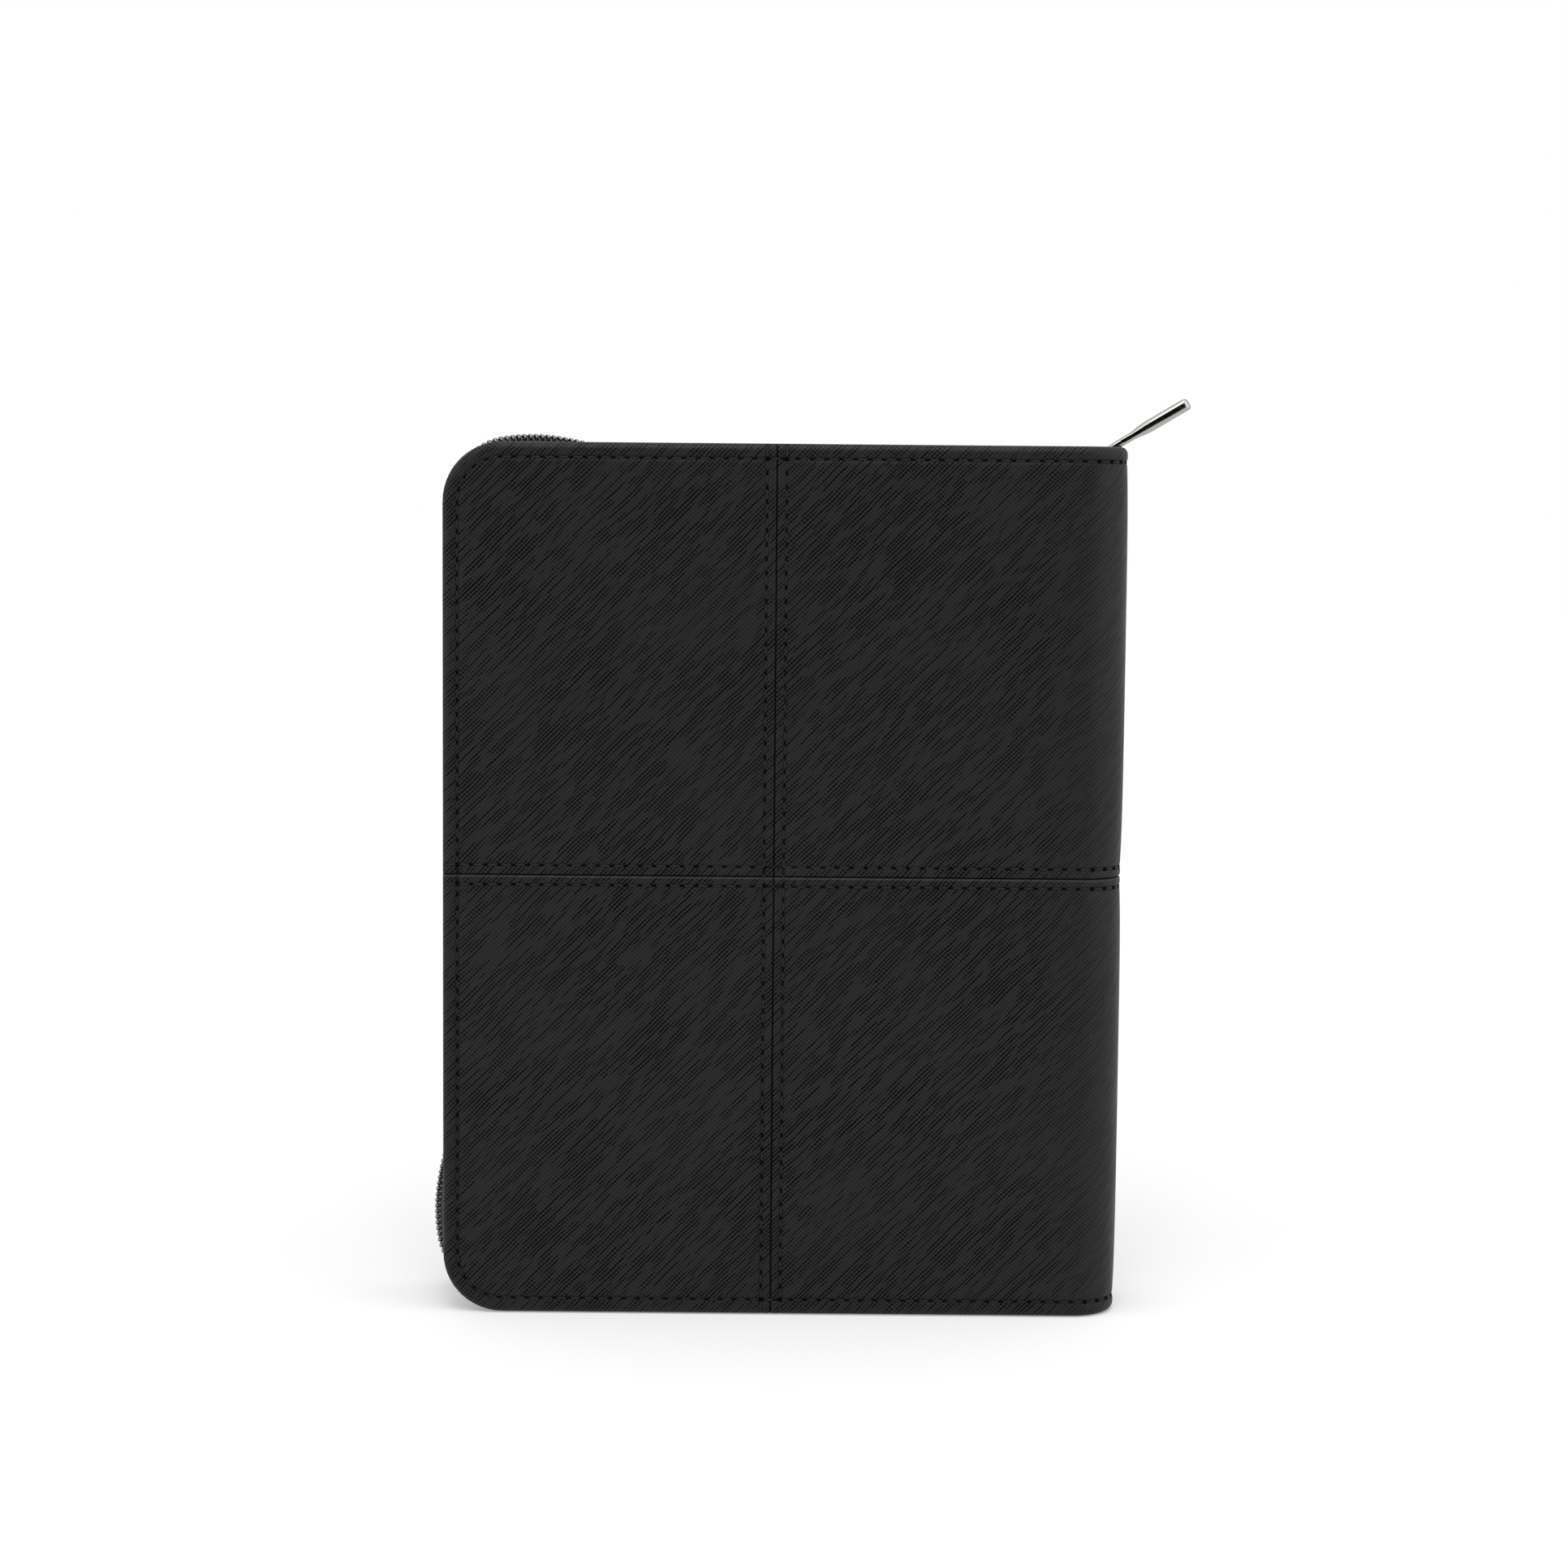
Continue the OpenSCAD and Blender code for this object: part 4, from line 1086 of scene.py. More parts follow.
def zip_path(x_end, step=1.5):
    """Points, outward directions and runs of the zip from the head, round the fore-edge, to the tail."""
    cx = ZIP_X + ZIP_R
    top, low = ZIP_TOP - ZIP_R, ZIP_LOW + ZIP_R
    turn = np.radians(np.arange(0, 91, 5))
    xs = [np.linspace(x_end, cx, math.ceil((x_end - cx) / step))[:-1], cx - ZIP_R * np.sin(turn),
          np.full(math.ceil((top - low) / step) - 1, ZIP_X), cx - ZIP_R * np.cos(turn),
          np.linspace(cx, x_end, math.ceil((x_end - cx) / step))[1:]]
    zs = [np.full(len(xs[0]), ZIP_TOP), top + ZIP_R * np.cos(turn),
          np.linspace(top, low, len(xs[2]) + 2)[1:-1], low - ZIP_R * np.sin(turn),
          np.full(len(xs[4]), ZIP_LOW)]
    ox = [0 * xs[0], -np.sin(turn), 0 * xs[2] - 1, -np.cos(turn), 0 * xs[4]]
    oz = [0 * xs[0] + 1, np.cos(turn), 0 * xs[2], -np.sin(turn), 0 * xs[4] - 1]
    place = np.stack([np.concatenate(xs), np.concatenate(zs)], axis=1)
    out = np.stack([np.concatenate(ox), np.concatenate(oz)], axis=1)
    return place, out, run_of(*place.T)


def zip_swell(run, x_end):
    """How far the zip stands out of its plane, near the head corner and low on the fore-edge."""
    s = looks("zip")
    head = x_end + HEAD_SWELL[0]
    side = x_end - ZIP_X - ZIP_R + ZIP_R * math.pi / 2 + ZIP_TOP - ZIP_R + SIDE_SWELL[0]
    total = 0 * run
    for middle, rise, width in ((head, s.head_swell, HEAD_SWELL[1]), (side, s.tail_swell, SIDE_SWELL[1])):
        off = np.clip((run - middle) / width, -0.5, 0.5)
        total = total + rise * np.cos(math.pi * off) ** 2
    return total


def coil(half, side, tree):
    """Coil half of one tape. The turns of the two halves lie half a pitch apart, so that they mesh."""
    s = looks("zip")
    x_end = X_SPINE - COIL_END
    place, out, run = zip_path(x_end, 1.0)
    swell = zip_swell(run, x_end)
    pitch = run[-1] / s.turns
    at = np.linspace(0.25 * pitch, run[-1] - 0.75 * pitch, COIL_POINTS) + (0.5 * pitch if side > 0 else 0)
    line = [np.interp(at, run, place[:, k] + out[:, k] * swell) for k in (0, 1)]
    face = [np.interp(at, run, out[:, k]) for k in (0, 1)]
    row = np.stack([line[0], 0 * at, line[1]], axis=1)
    obj = path_object(f"zip_coil_{half}", [(row, np.stack([face[0], 0 * at, face[1]], axis=1))])
    shape = {key: size * MM for key, size in COIL_SHAPE.items()}
    return run_tree(obj, tree, {"Turns": s.turns, "Pitch": -side * pitch * MM,
                                "Shift": -side * COIL_SHIFT * MM,
                                "Finish": finish("Coil nylon", coil_nylon), **shape})


def tape(half, side):
    """Woven tape: a hem on the lining and a wall that stands up to the coil."""
    x_end = X_SPINE - TAPE_END
    place, out, run = zip_path(x_end)
    swell = zip_swell(run, x_end)
    off, y = np.array(TAPE_SECTION).T
    lift = np.clip((13.6 - y) / 11.0, 0, 1) ** 1.3
    wander = TAPE_WANDER * np.sin(run / 9)[:, None] * arch(14 - y, 12)[None, :]
    n = off[None, :] + lift[None, :] * swell[:, None] * TAPE_LIFT + wander
    points = np.stack([place[:, :1] + out[:, :1] * n, side * y[None, :] + 0 * n,
                       place[:, 1:] + out[:, 1:] * n], axis=-1)
    width = run_of(off, y)
    uv = np.stack(np.broadcast_arrays(run[:, None], width[None, :]), axis=-1)
    look = np.stack([out[:, :1] + 0 * n, 0 * n, out[:, 1:] + 0 * n], axis=-1)
    obj = make_object(f"zip_tape_{half}", points, grid_faces(*n.shape), uv, look)
    thicken(obj, TAPE_T)
    return dress(obj, finish("Zip tape cloth", zip_tape_cloth)), (width[-1], run[-1])


class PLANNER_OT_zip(bpy.types.Operator):
    """Zip tapes with their nylon coils"""
    bl_idname = "planner.zip"
    bl_label = "Zip"

    def execute(self, context):
        tree = group("Zip coil", coil_tree)
        for half, side in SIDES.items():
            cloth, flat = tape(half, side)
            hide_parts(half + "_tape")
            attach(cloth, half + "_cover")
            turns = coil(half, side, tree)
            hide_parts(half + "_teeth")
            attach(turns, half + "_cover")
            flat[0] * MM
            flat[1] * MM
        return {"FINISHED"}


# Lining and pockets

CLOTH_ROWS = [0.0, 0.8, 2.0, 4.0, 7.0, 11.0]
LINING_T = 0.6
# Bezier marks of the lining over a fold, in X and off the middle, and its end short of head and tail.
FOLD_MARKS = np.array([(-14.5, 14.35), (-11.2, 14.3), (-7.4, 13.0), (-4.6, 10.9), (-3.15, 9.3), (-2.85, 7.9)])
FOLD_END = 9.0
FOLD_T = 0.35
# Pockets: corner radius, sewn row in from the edge, and seam of the turned top edge.
POCKET_R = 4.0
POCKET_SEW = 2.2
POCKET_TOP = 6.0
POCKET_T = 0.7
ELASTIC_T = 0.9
POCKETS = {"back": ["back_sleeve"],
           "front": ["front_sleeve", "card_slot_tall", "card_slot_middle", "card_slot_short"]}


def cloth_panel(name, x0, x1, z0, z1, corners, level, look, ripple=0.05, step=5.0):
    """A sheet in X and Z. corners are the radii at low and at high X, and look is the way it faces in Y."""
    wide, high = x1 - x0, z1 - z0
    u, v = (spread_rows(size, CLOTH_ROWS, CLOTH_ROWS, step) for size in (wide, high))
    uu, vv = np.meshgrid(u, v, indexing="ij")
    x, z = uu.copy(), vv.copy()
    for left in (True, False):
        r = corners[0] if left else corners[1]
        if r <= 0:
            continue
        for low in (True, False):
            e1 = uu if left else wide - uu
            e2 = vv if low else high - vv
            a, b = round_corner(e1, e2, r)
            here = (e1 < r) & (e2 < r)
            x = np.where(here, a if left else wide - a, x)
            z = np.where(here, b if low else high - b, z)
    edge = np.minimum(np.minimum(uu, wide - uu), np.minimum(vv, high - vv))
    uneven = np.sin(uu / 11 + 1) * np.cos(vv / 14) * np.clip(edge / 6, 0, 1)
    lift = level(uu / wide, vv / high, edge) + ripple * uneven
    points = np.stack([x0 + x, lift, z0 + z], axis=-1)
    return make_object(name, points, grid_faces(*uu.shape), np.stack([x, z], axis=-1), [0, look, 0])


def hinge_lining(half, side):
    """Lining over the fold between a cover and the spine."""
    t = np.linspace(0, 1, 22)[:, None]
    k = len(FOLD_MARKS) - 1
    line = sum(math.comb(k, i) * t ** i * (1 - t) ** (k - i) * FOLD_MARKS[i] for i in range(k + 1))
    z = np.linspace(FOLD_END, HEIGHT - FOLD_END, 60)
    run = run_of(*line.T)
    points = np.stack(np.broadcast_arrays(line[:, :1], side * line[:, 1:], z[None, :]), axis=-1)
    uv = np.stack(np.broadcast_arrays(run[:, None], z[None, :]), axis=-1)
    obj = make_object(f"lining_fold_{half}", points, grid_faces(22, 60), uv, [-1, -side, 0])
    thicken(obj, FOLD_T)
    dress(obj, finish("Lining cloth", lining_cloth))
    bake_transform(obj)


class PLANNER_OT_lining(bpy.types.Operator):
    """Woven linings of the covers, the folds and the spine"""
    bl_idname = "planner.lining"
    bl_label = "Lining"

    def execute(self, context):
        cloth = finish("Lining cloth", lining_cloth)
        for half, side in SIDES.items():
            low, high = box_mm(half + "_lining")
            obj = cloth_panel("lining_" + half, low[0], high[0], low[2], high[2], (CORNER_R - 1.4, 0),
                              lambda a, b, e: side * (Y_LINING + 0.06 + 0 * e), -side, 0.04)
            thicken(obj, LINING_T)
            dress(obj, cloth)
            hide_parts(half + "_lining")
            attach(obj, half + "_cover")
            hinge_lining(half, side)
        low, high = box_mm("spine_lining")
        yy, zz = np.meshgrid(np.linspace(low[1], high[1], 9), np.linspace(low[2], high[2], 40), indexing="ij")
        x = low[0] + 0.05 + 0.04 * np.sin(zz / 7) * np.cos(yy)
        obj = make_object("lining_spine", np.stack([x, yy, zz], axis=-1), grid_faces(9, 40),
                          np.stack([yy, zz], axis=-1), [-1, 0, 0])
        thicken(obj, LINING_T)
        dress(obj, cloth)
        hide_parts("spine_lining")
        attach(obj, "spine")
        return {"FINISHED"}


def pocket(node, half, side):
    """A sewn-on pocket of thin leather with a turned top edge that gapes a little. Returns its sewn rows."""
    low, high = box_mm(node)
    inner = low[1] if side > 0 else high[1]
    wide, tall = high[0] - low[0], high[2] - low[2]

    def level(a, b, edge):
        top = (1 - b) * tall
        gape = 0.45 * np.sin(math.pi * a) * np.clip(b, 0, 1) ** 3
        hem = 0.16 * np.exp(-((np.clip(top, 0, 99) - 3.0) / 2.6) ** 4)
        sewn = -0.12 * dent(edge - POCKET_SEW, 0.7) - 0.2 * np.exp(-edge / 0.35)
        crest = -0.1 * dent(top - POCKET_TOP, 0.6)
        return inner - side * (gape + hem + sewn + crest - 0.06)

    obj = cloth_panel("pocket_" + node, low[0], high[0], low[2], high[2], (POCKET_R, POCKET_R), level, -side,
                      0.03, 4.0)
    thicken(obj, POCKET_T)
    dress(obj, finish("Pocket leather", pocket_leather))
    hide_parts(node)
    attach(obj, half + "_cover")
    z = np.arange(tall - 0.5, POCKET_R, -SEW_STEP)
    x = np.arange(POCKET_R, wide - POCKET_R, SEW_STEP)
    turn = np.radians(np.arange(0, 91, 15))
    r = POCKET_R - POCKET_SEW
    sx = np.concatenate([np.full(len(z), POCKET_SEW), POCKET_R - r * np.cos(turn), x,
                         wide - POCKET_R + r * np.sin(turn), np.full(len(z), wide - POCKET_SEW)])
    sz = np.concatenate([z, POCKET_R - r * np.sin(turn), np.full(len(x), POCKET_SEW),
                         POCKET_R - r * np.cos(turn), z[::-1]])
    hx = np.arange(3.0, wide - 3.0, SEW_STEP)
    rows = []
    for px, pz, inset in ((sx, sz, POCKET_SEW), (hx, np.full(len(hx), tall - POCKET_TOP), POCKET_TOP)):
        y = level(px / wide, pz / tall, np.full(len(px), inset)) - side * SEW_LIFT
        rows.append((np.stack([low[0] + px, y, low[2] + pz], axis=1), np.tile([0, -side, 0], (len(px), 1))))
    return rows


class PLANNER_OT_pockets(bpy.types.Operator):
    """Paper sleeves, card slots and the elastic pen loop"""
    bl_idname = "planner.pockets"
    bl_label = "Pockets"

    def execute(self, context):
        tree = group("Stitch rows", stitch_tree)
        for half, side in SIDES.items():
            rows = []
            for node in POCKETS[half]:
                rows += pocket(node, half, side)
            obj = sew(f"stitches_{half}_pockets", rows, tree)
            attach(obj, half + "_cover")
        self.pen_loop()
        return {"FINISHED"}

    def pen_loop(self):
        """Band round a pen, drawn in a little at its two edges."""
        low, high = box_mm("pen_loop")
        r = (high[1] - low[1]) / 2
        cy = (low[1] + high[1]) / 2
        turn = np.radians(np.arange(-90, 91, 12))
        x = np.concatenate([high[0] - r + r * np.cos(turn), low[0] + r - r * np.cos(turn)])
        y = np.concatenate([cy + r * np.sin(turn), cy - r * np.sin(turn)])
        x, y = np.append(x, x[0]), np.append(y, y[0])
        z = np.linspace(low[2], high[2], 21)
        pinch = 0.25 * (np.abs(np.linspace(-1, 1, 21)) ** 6)
        nx, ny = x - np.clip(x, low[0] + r, high[0] - r), y - cy
        size = np.hypot(nx, ny)
        nx, ny = nx / size, ny / size
        points = np.stack([x[:, None] - nx[:, None] * pinch, y[:, None] - ny[:, None] * pinch,
                           z[None, :] + 0 * x[:, None]], axis=-1)
        run = run_of(x, y)
        uv = np.stack(np.broadcast_arrays(z[None, :], run[:, None]), axis=-1)
        look = np.stack(np.broadcast_arrays(nx[:, None], ny[:, None], 0 * z[None, :]), axis=-1)
        obj = make_object("pen_loop_band", points, grid_faces(len(x), 21), uv, look)
        thicken(obj, ELASTIC_T)
        dress(obj, finish("Elastic cloth", elastic_cloth))
        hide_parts("pen_loop")
        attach(obj, "back_cover")


# Sheets

LEAF_WIDE = 148.0
LEAF_R = 3.0
PUNCH_INSET = 5
PUNCH_R = 3.1
PUNCH_OFF = (35, 54, 73)
# A half of the sheets: its thickness, an index card's, the room before it, a leaf's share of the pitch.
STACK = 5.5
CARD = 0.4
FIRST = 0.3
LEAF_SHARE = 0.84
LOOSENESS = 0.18
SEEDS = {"back": 7, "front": 4}


def leaf(name, thickness):
    """One punched leaf, with its punched edge at X of the hole inset and its Y about 0."""
    low, high = box_mm("sheets_back")
    curve = bpy.data.curves.new(name, "CURVE")
    curve.dimensions = "2D"
    curve.fill_mode = "BOTH"
    curve.extrude = thickness / 2 * MM

    def ring(points):
        spline = curve.splines.new("POLY")
        spline.points.add(len(points) - 1)
        for dot, (px, pz) in zip(spline.points, points):
            dot.co = (px * MM, pz * MM, 0, 1)
        spline.use_cyclic_u = True

    edge, fore = PUNCH_INSET - LEAF_R, PUNCH_INSET - LEAF_WIDE + LEAF_R
    tail, head = low[2] + LEAF_R, high[2] - LEAF_R
    outline = []
    for cx, cz, start in ((edge, head, 0), (fore, head, 90), (fore, tail, 180), (edge, tail, 270)):
        for t in np.radians(np.arange(0, 91, 18)) + math.radians(start):
            outline.append((cx + LEAF_R * math.cos(t), cz + LEAF_R * math.sin(t)))
    ring(outline)
    turn = np.radians(np.arange(0, 360, 22.5))
    for offset in PUNCH_OFF:
        for z in (HEIGHT / 2 - offset, HEIGHT / 2 + offset):
            ring([(PUNCH_R * math.cos(t), z + PUNCH_R * math.sin(t)) for t in turn])
    flat = put_in(name, curve)
    mesh = bpy.data.meshes.new_from_object(flat)
    bpy.data.objects.remove(flat)
    mesh.transform(Matrix.Rotation(math.pi / 2, 4, "X"))
    mesh.shade_flat()
    return put_in(name, mesh)


class PLANNER_OT_sheets(bpy.types.Operator):
    """Ruled leaves on the rings and the index sheets between them"""
    bl_idname = "planner.sheets"
    bl_label = "Sheets"

    def execute(self, context):
        s = looks("inside")
        tree = group("Leaf stack", leaves_tree)
        pitch = (STACK - 2 * CARD) / 3 / s.leaves
        for half, side in SIDES.items():
            obj = leaf("leaves_" + half, pitch * LEAF_SHARE)
            run_tree(obj, tree, {"Leaves": s.leaves, "Side": float(side), "First": (FIRST + pitch / 2) * MM,
                                 "Pitch": pitch * MM, "Card": CARD * MM, "Ring": RING_R * MM,
                                 "Looseness": LOOSENESS * MM, "Seed": SEEDS[half],
                                 "Finish": finish("Ruled paper", ruled_paper)})
            obj.data.transform(Matrix.Translation((RING_X * MM, 0, 0)))
            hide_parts("sheets_" + half)
            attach(obj, f"sheets_{half}_half")
            paint("index_" + half, finish("Index card", index_card))
        return {"FINISHED"}


# Metal

# Width of the bevels on each metal node; rings are round and have none.
BEVELS = {"ring_base": 0.12, "ring_rivets": 0.3, "rings_back": 0, "rings_front": 0, "lever_top": 0.3,
          "lever_bottom": 0.3, "leaf_back": 0.1, "leaf_front": 0.1, "slider_body": 0.14}
SMOOTH_ANGLE = math.radians(34)
BEVEL_ANGLE = math.radians(40)
# Sections of the pull: along it, half width, half thickness and corner radius.
PULL_BODY = [(4.0, 3.0, 0.55, 0.3), (4.3, 3.4, 0.9, 0.4), (4.8, 3.5, 1.0, 0.5), (5.4, 3.5, 1.0, 0.5),
             (8.0, 3.5, 1.0, 0.5), (8.8, 3.5, 1.03, 0.53), (9.6, 3.5, 1.12, 0.62), (10.8, 3.5, 1.34, 0.85),
             (12.2, 3.5, 1.52, 1.0), (13.8, 3.5, 1.6, 1.05), (24.2, 3.5, 1.6, 1.05)]
PULL_END = (25.75, 1.9, 1.0, 0.8)
PULL_ARM = [(-0.62, 0.25, 0.2, 0.2), (-0.4, 0.5, 0.42, 0.3), (0.0, 0.66, 0.6, 0.35), (2.4, 0.66, 0.9, 0.42),
            (3.6, 0.66, 0.98, 0.45), (5.6, 0.66, 0.98, 0.45)]
PULL_PIN = [(-2.8, 0.4, 0.4, 0.4), (-2.5, 0.55, 0.55, 0.55), (2.5, 0.55, 0.55, 0.55), (2.8, 0.4, 0.4, 0.4)]
ARM_OFF = 2.82
PULL_SLOPE = math.radians(-31)


def paint(node, material):
    """Gives a CAD node its material."""
    obj = frame["nodes"][node]
    for place in obj.material_slots:
        place.link = "OBJECT"
        place.material = material
    return obj


class PLANNER_OT_mechanism(bpy.types.Operator):
    """Ring mechanism, rivets and boards"""
    bl_idname = "planner.mechanism"
    bl_label = "Ring mechanism"

    def execute(self, context):
        tree = group("Smooth metal", soften_tree)
        nickel = finish("Polished nickel", polished_nickel)
        steel = finish("Plain steel", plain_steel)
        for node, width in BEVELS.items():
            obj = paint(node, steel if node.startswith("leaf") else nickel)
            smooth = obj.modifiers.new("Smooth metal", "NODES")
            smooth.node_group = tree
            for item in tree.interface.items_tree:
                if item.name == "Angle":
                    smooth[item.identifier] = SMOOTH_ANGLE
            if width:
                edge = obj.modifiers.new("Edges", "BEVEL")
                edge.width = width * MM
                edge.segments = 2
                edge.limit_method = "ANGLE"
                edge.angle_limit = BEVEL_ANGLE
                edge.harden_normals = True
        for node in ("back_board", "front_board", "spine_board"):
            paint(node, finish("Grey board", grey_board))
        return {"FINISHED"}


def tube_loft(stations, sides=28):
    """Closed loft of rounded rectangles: (x, half width, half thickness, corner radius) each."""
    points, faces = [], []
    for x, w, t, r in stations:
        r = min(r, w, t)
        for k in range(sides):
            a = 2 * math.pi * k / sides
            c, s = math.cos(a), math.sin(a)
            points.append((x, math.copysign(w - r, c) + r * c if abs(c) > 1e-9 else 0.0,
                           math.copysign(t - r, s) + r * s if abs(s) > 1e-9 else 0.0))
    n = len(stations)
    for i in range(n - 1):
        for k in range(sides):
            j = (k + 1) % sides
            faces.append((i * sides + k, i * sides + j, (i + 1) * sides + j, (i + 1) * sides + k))
    faces.append(tuple(range(sides)))
    faces.append(tuple((n - 1) * sides + k for k in range(sides))[::-1])
    return points, faces


class PLANNER_OT_pull(bpy.types.Operator):
    """Pull of the zip slider"""
    bl_idname = "planner.pull"
    bl_label = "Zip pull"

    def execute(self, context):
        body = list(PULL_BODY)
        long = body[-1][0]
        for t in np.radians(np.arange(15, 76, 15)):
            c, s = math.cos(t), math.sin(t)
            body.append((long + 1.5 * s, 2.0 + 1.5 * c, 1.6 - 0.5 * s ** 4, 1.0))
        pieces = [tube_loft(body + [PULL_END])]
        for y in (-ARM_OFF, ARM_OFF):
            points, faces = tube_loft(PULL_ARM, 16)
            pieces.append(([(px, py + y, pz) for px, py, pz in points], faces))
        points, faces = tube_loft(PULL_PIN, 16)
        pieces.append(([(-pz, px, py) for px, py, pz in points], faces))
        corners, joined = [], []
        for points, faces in pieces:
            start = len(corners)
            corners += points
            joined += [tuple(start + i for i in face) for face in faces]
        joint = next(j for j in frame["joints"] if j["name"] == "pull_hinge")
        mesh = bpy.data.meshes.new("pull")
        mesh.from_pydata([tuple(c * MM for c in p) for p in corners], [], joined)
        mesh.transform(Matrix.Translation(joint["pos_m"]) @ Matrix.Rotation(PULL_SLOPE, 4, "Y"))
        mesh.validate()
        obj = put_in("pull", mesh)
        outward(mesh)
        mesh.shade_smooth()
        mesh.set_sharp_from_angle(angle=math.radians(48))
        dress(obj, finish("Polished nickel", polished_nickel))
        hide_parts("zip_pull")
        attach(obj, "pull")
        return {"FINISHED"}


def outward(mesh):
    """Points the faces of each closed shell outward."""
    work = bmesh.new()
    work.from_mesh(mesh)
    bmesh.ops.remove_doubles(work, verts=work.verts, dist=1e-7)
    bmesh.ops.recalc_face_normals(work, faces=work.faces)
    work.to_mesh(mesh)
    work.free()


# Stage

# Lights: place in m, the setting that holds the power, and width in m. They face the middle of the planner.
LAMPS = {"Top light": ((-0.09, -0.15, 1.45), "top_light", 2.0),
         "Left light": ((-1.3, -0.8, 0.8), "side_light", 1.5),
         "Right light": ((1.2, -0.55, 0.8), "side_light", 1.5),
         "Small light": ((-0.1, -0.75, 1.15), "small_light", 0.42)}
LAMP_LEAST = 0.9
MIDDLE = Vector((-0.09, 0, 0.115))
ROOM, WHITE = 0.45, 1.0
CAMERA_AT = (-0.0904, -0.8367, 0.217)
CAMERA_DOWN = math.radians(90 - 5.1)
CAMERA_ROLL = math.radians(0.5)
FLOOR, FLOOR_Z = 6, -0.0002
FLOOR_NEAR, FLOOR_FAR = 0.12, 0.42
CARD_LEFT, CARD_RIGHT, CARD_Y, CARD_TOP = -0.7, 0.75, -1.7, 1.0


def seen_mask(tree):
    """1 for rays that see the background straight, in gloss or through glass."""
    path = taps(tree, tree.nodes.new("ShaderNodeLightPath"))
    both = path["Is Camera Ray"].do("MAXIMUM", path["Is Glossy Ray"])
    return both.do("MAXIMUM", path["Is Transmission Ray"])


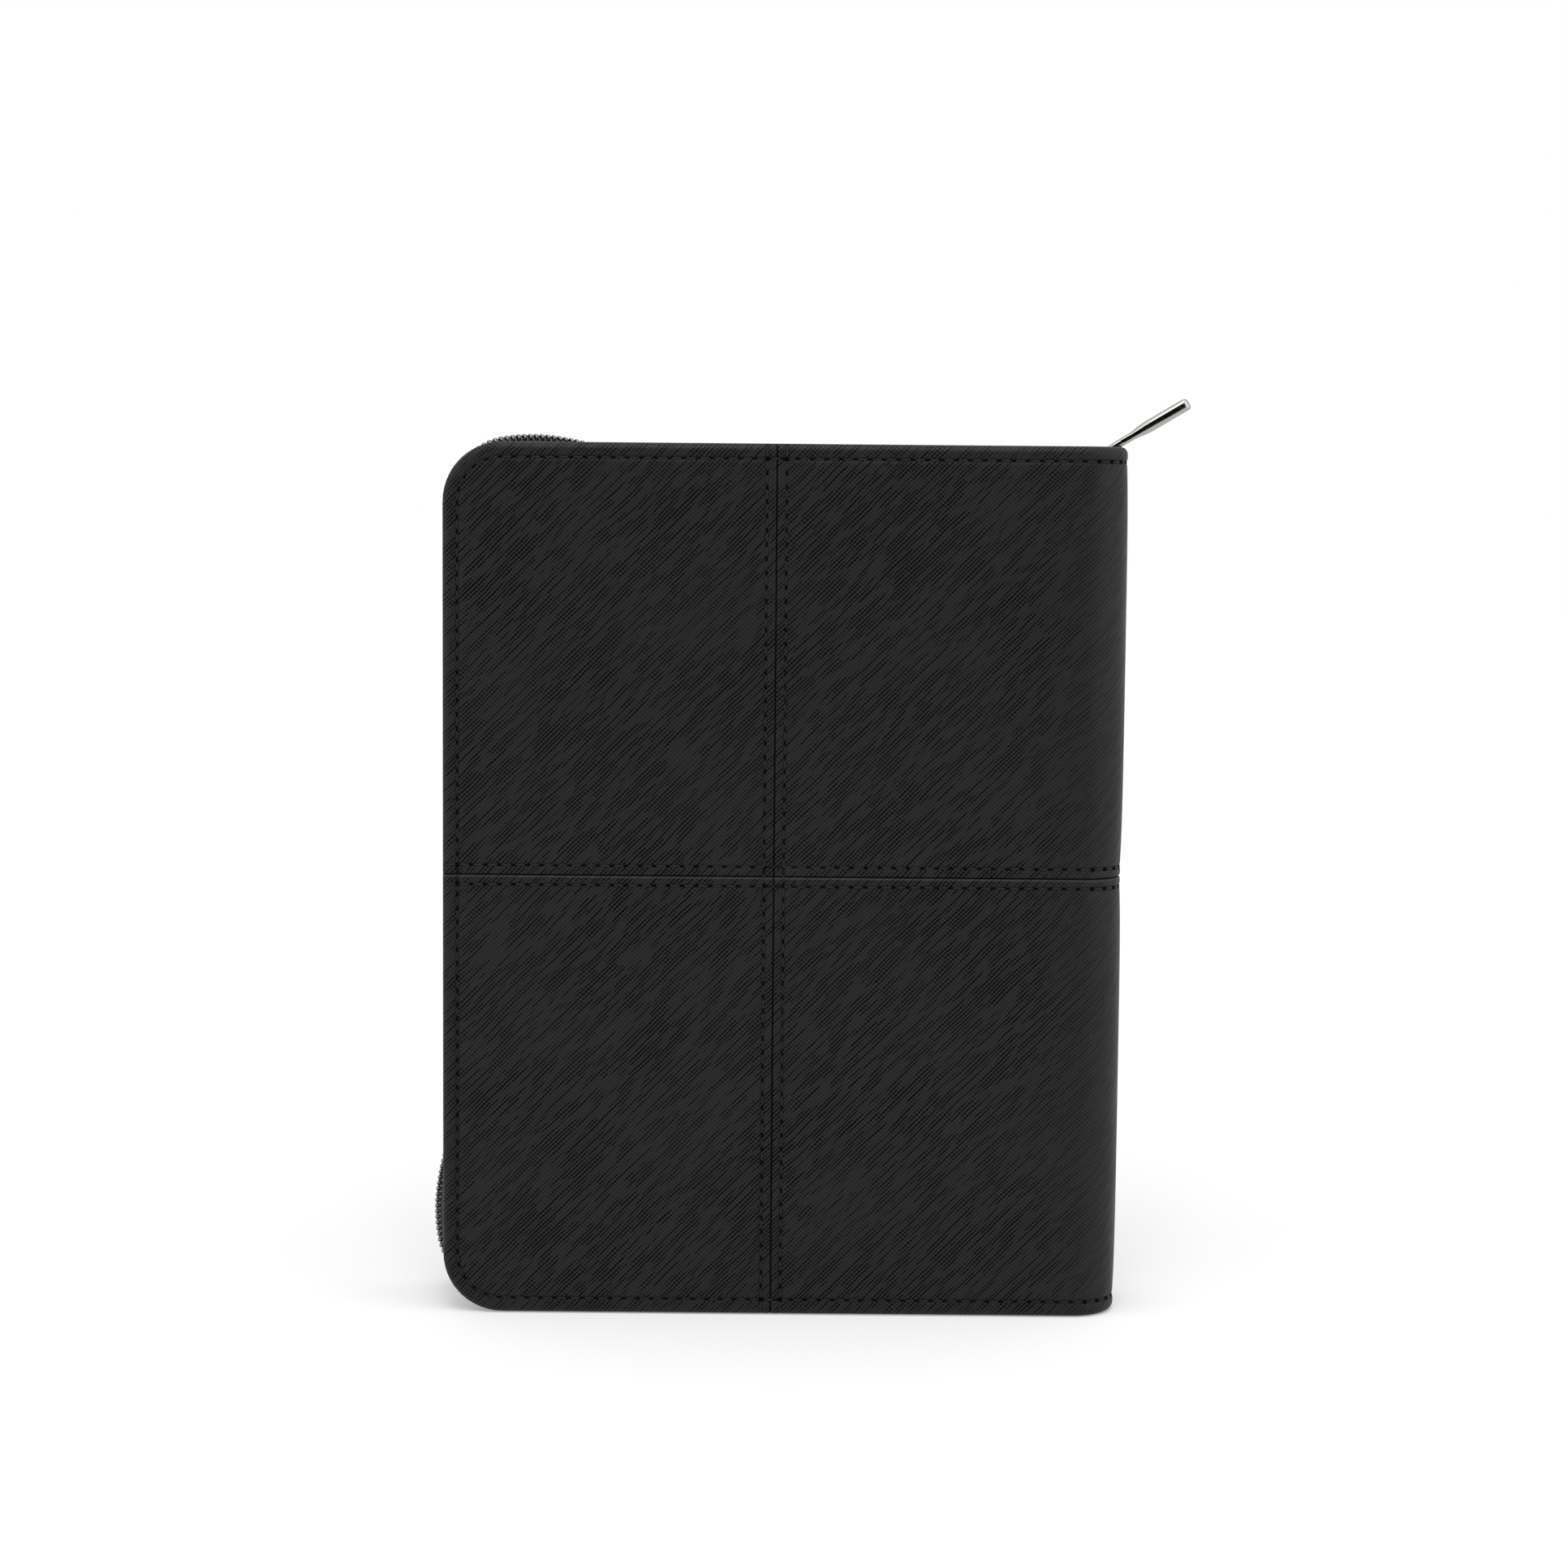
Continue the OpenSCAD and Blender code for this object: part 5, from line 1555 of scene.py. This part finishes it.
class PLANNER_OT_stage(bpy.types.Operator):
    """Pale floor, soft light and the camera"""
    bl_idname = "planner.stage"
    bl_label = "Stage"

    def execute(self, context):
        s = looks("stage")
        scene = context.scene
        scene.view_settings.view_transform = "Standard"
        world = scene.world or bpy.data.worlds.new("Studio")
        scene.world = world
        world.use_nodes = True
        tree = world.node_tree
        tree.nodes.clear()
        room = add(tree, "ShaderNodeBackground", Color=(1, 1, 1, 1), Strength=ROOM)
        back = add(tree, "ShaderNodeBackground", Color=(1, 1, 1, 1), Strength=WHITE)
        blend = add(tree, "ShaderNodeMixShader", i0=seen_mask(tree), i1=room, i2=back)
        tree.links.new(blend.outputs[0], tree.nodes.new("ShaderNodeOutputWorld").inputs[0])
        self.floor()
        for name, (place, power, size) in LAMPS.items():
            lamp = bpy.data.lights.new(name, "AREA")
            lamp.energy = getattr(s, power)
            lamp.shape = "RECTANGLE"
            lamp.size = size
            lamp.size_y = max(size, LAMP_LEAST)
            turn = (MIDDLE - Vector(place)).to_track_quat("-Z", "Y").to_matrix().to_4x4()
            put_in(name, lamp).matrix_world = Matrix.Translation(place) @ turn
        camera = bpy.data.cameras.new("Camera")
        camera.sensor_width = 36
        camera.lens = s.lens
        obj = put_in("Camera", camera)
        aim = Euler((CAMERA_DOWN, 0, 0)).to_matrix() @ Matrix.Rotation(CAMERA_ROLL, 3, "Z")
        obj.matrix_world = Matrix.Translation(CAMERA_AT) @ aim.to_4x4()
        scene.camera = obj
        return {"FINISHED"}

    def floor(self):
        """Floor that goes over into the white background, and a dark card that the metal mirrors."""
        f = Finish("Studio floor", Roughness=0.8, Specular_IOR_Level=0.1, Emission_Color=(1, 1, 1, 1))
        away = add(f.tree, "ShaderNodeVectorMath", {"operation": "DISTANCE"}, i0=f.place(),
                   i1=(MIDDLE.x, 0, 0))
        far = ease(f.tree, away.outputs["Value"], FLOOR_NEAR, FLOOR_FAR, 0.0, 1.0)
        seen = seen_mask(f.tree)
        f.feed("Base Color", f.mix(1.0 - far * seen, (0, 0, 0), (0.86, 0.86, 0.86)))
        f.feed("Emission Strength", seen * f.between(far, looks("stage").floor_lift, 1.0))
        square = ((-FLOOR, -FLOOR), (FLOOR, -FLOOR), (FLOOR, FLOOR), (-FLOOR, FLOOR))
        obj = plane("floor", [(x, y, FLOOR_Z) for x, y in square], f.material)
        dark = Finish("Dark card", Roughness=0.9, Specular_IOR_Level=0.0)
        shade = dark.marks(3.0, 50.0)
        dark.feed("Base Color", dark.mix(shade["Smears"], (0.006, 0.006, 0.006), (0.010, 0.010, 0.010)))
        sheet = ((CARD_LEFT, 0), (CARD_LEFT, CARD_TOP), (CARD_RIGHT, CARD_TOP), (CARD_RIGHT, 0))
        card = plane("card", [(x, CARD_Y, z) for x, z in sheet], dark.material)
        card.visible_camera = False
        card.visible_shadow = False


def plane(name, corners, material):
    """One four-sided face."""
    mesh = bpy.data.meshes.new(name)
    mesh.from_pydata(corners, [], [(0, 1, 2, 3)])
    mesh.materials.append(material)
    return put_in(name, mesh)


class PLANNER_PT_looks(bpy.types.Panel):
    """Planner looks"""
    bl_label = "Planner"
    bl_idname = "PLANNER_PT_looks"
    bl_space_type = "VIEW_3D"
    bl_region_type = "UI"
    bl_category = "Planner"

    def draw(self, context):
        for title, group in GROUPS.items():
            block = self.layout.box()
            block.label(text=title)
            settings = getattr(context.scene, "planner_" + title.lower())
            for key in group.__annotations__:
                block.prop(settings, key)
        for maker in MAKERS:
            self.layout.operator(maker.bl_idname)


GROUPS = {"Leather": LeatherSettings, "Zip": ZipSettings, "Inside": InsideSettings, "Metal": MetalSettings,
          "Stage": StageSettings}
MAKERS = (PLANNER_OT_stage, PLANNER_OT_covers, PLANNER_OT_stitching, PLANNER_OT_zip, PLANNER_OT_lining,
          PLANNER_OT_pockets, PLANNER_OT_sheets, PLANNER_OT_mechanism, PLANNER_OT_pull)
CLASSES = (*GROUPS.values(), *MAKERS, PLANNER_PT_looks)


def register():
    for cls in CLASSES:
        bpy.utils.register_class(cls)
    for title, group in GROUPS.items():
        setattr(bpy.types.Scene, "planner_" + title.lower(), PointerProperty(type=group))


def unregister():
    for title in GROUPS:
        delattr(bpy.types.Scene, "planner_" + title.lower())
    for cls in reversed(CLASSES):
        bpy.utils.unregister_class(cls)


def main():
    register()
    for maker in MAKERS:
        part, name = maker.bl_idname.split(".")
        getattr(getattr(bpy.ops, part), name)()


if __name__ == "__main__":
    main()
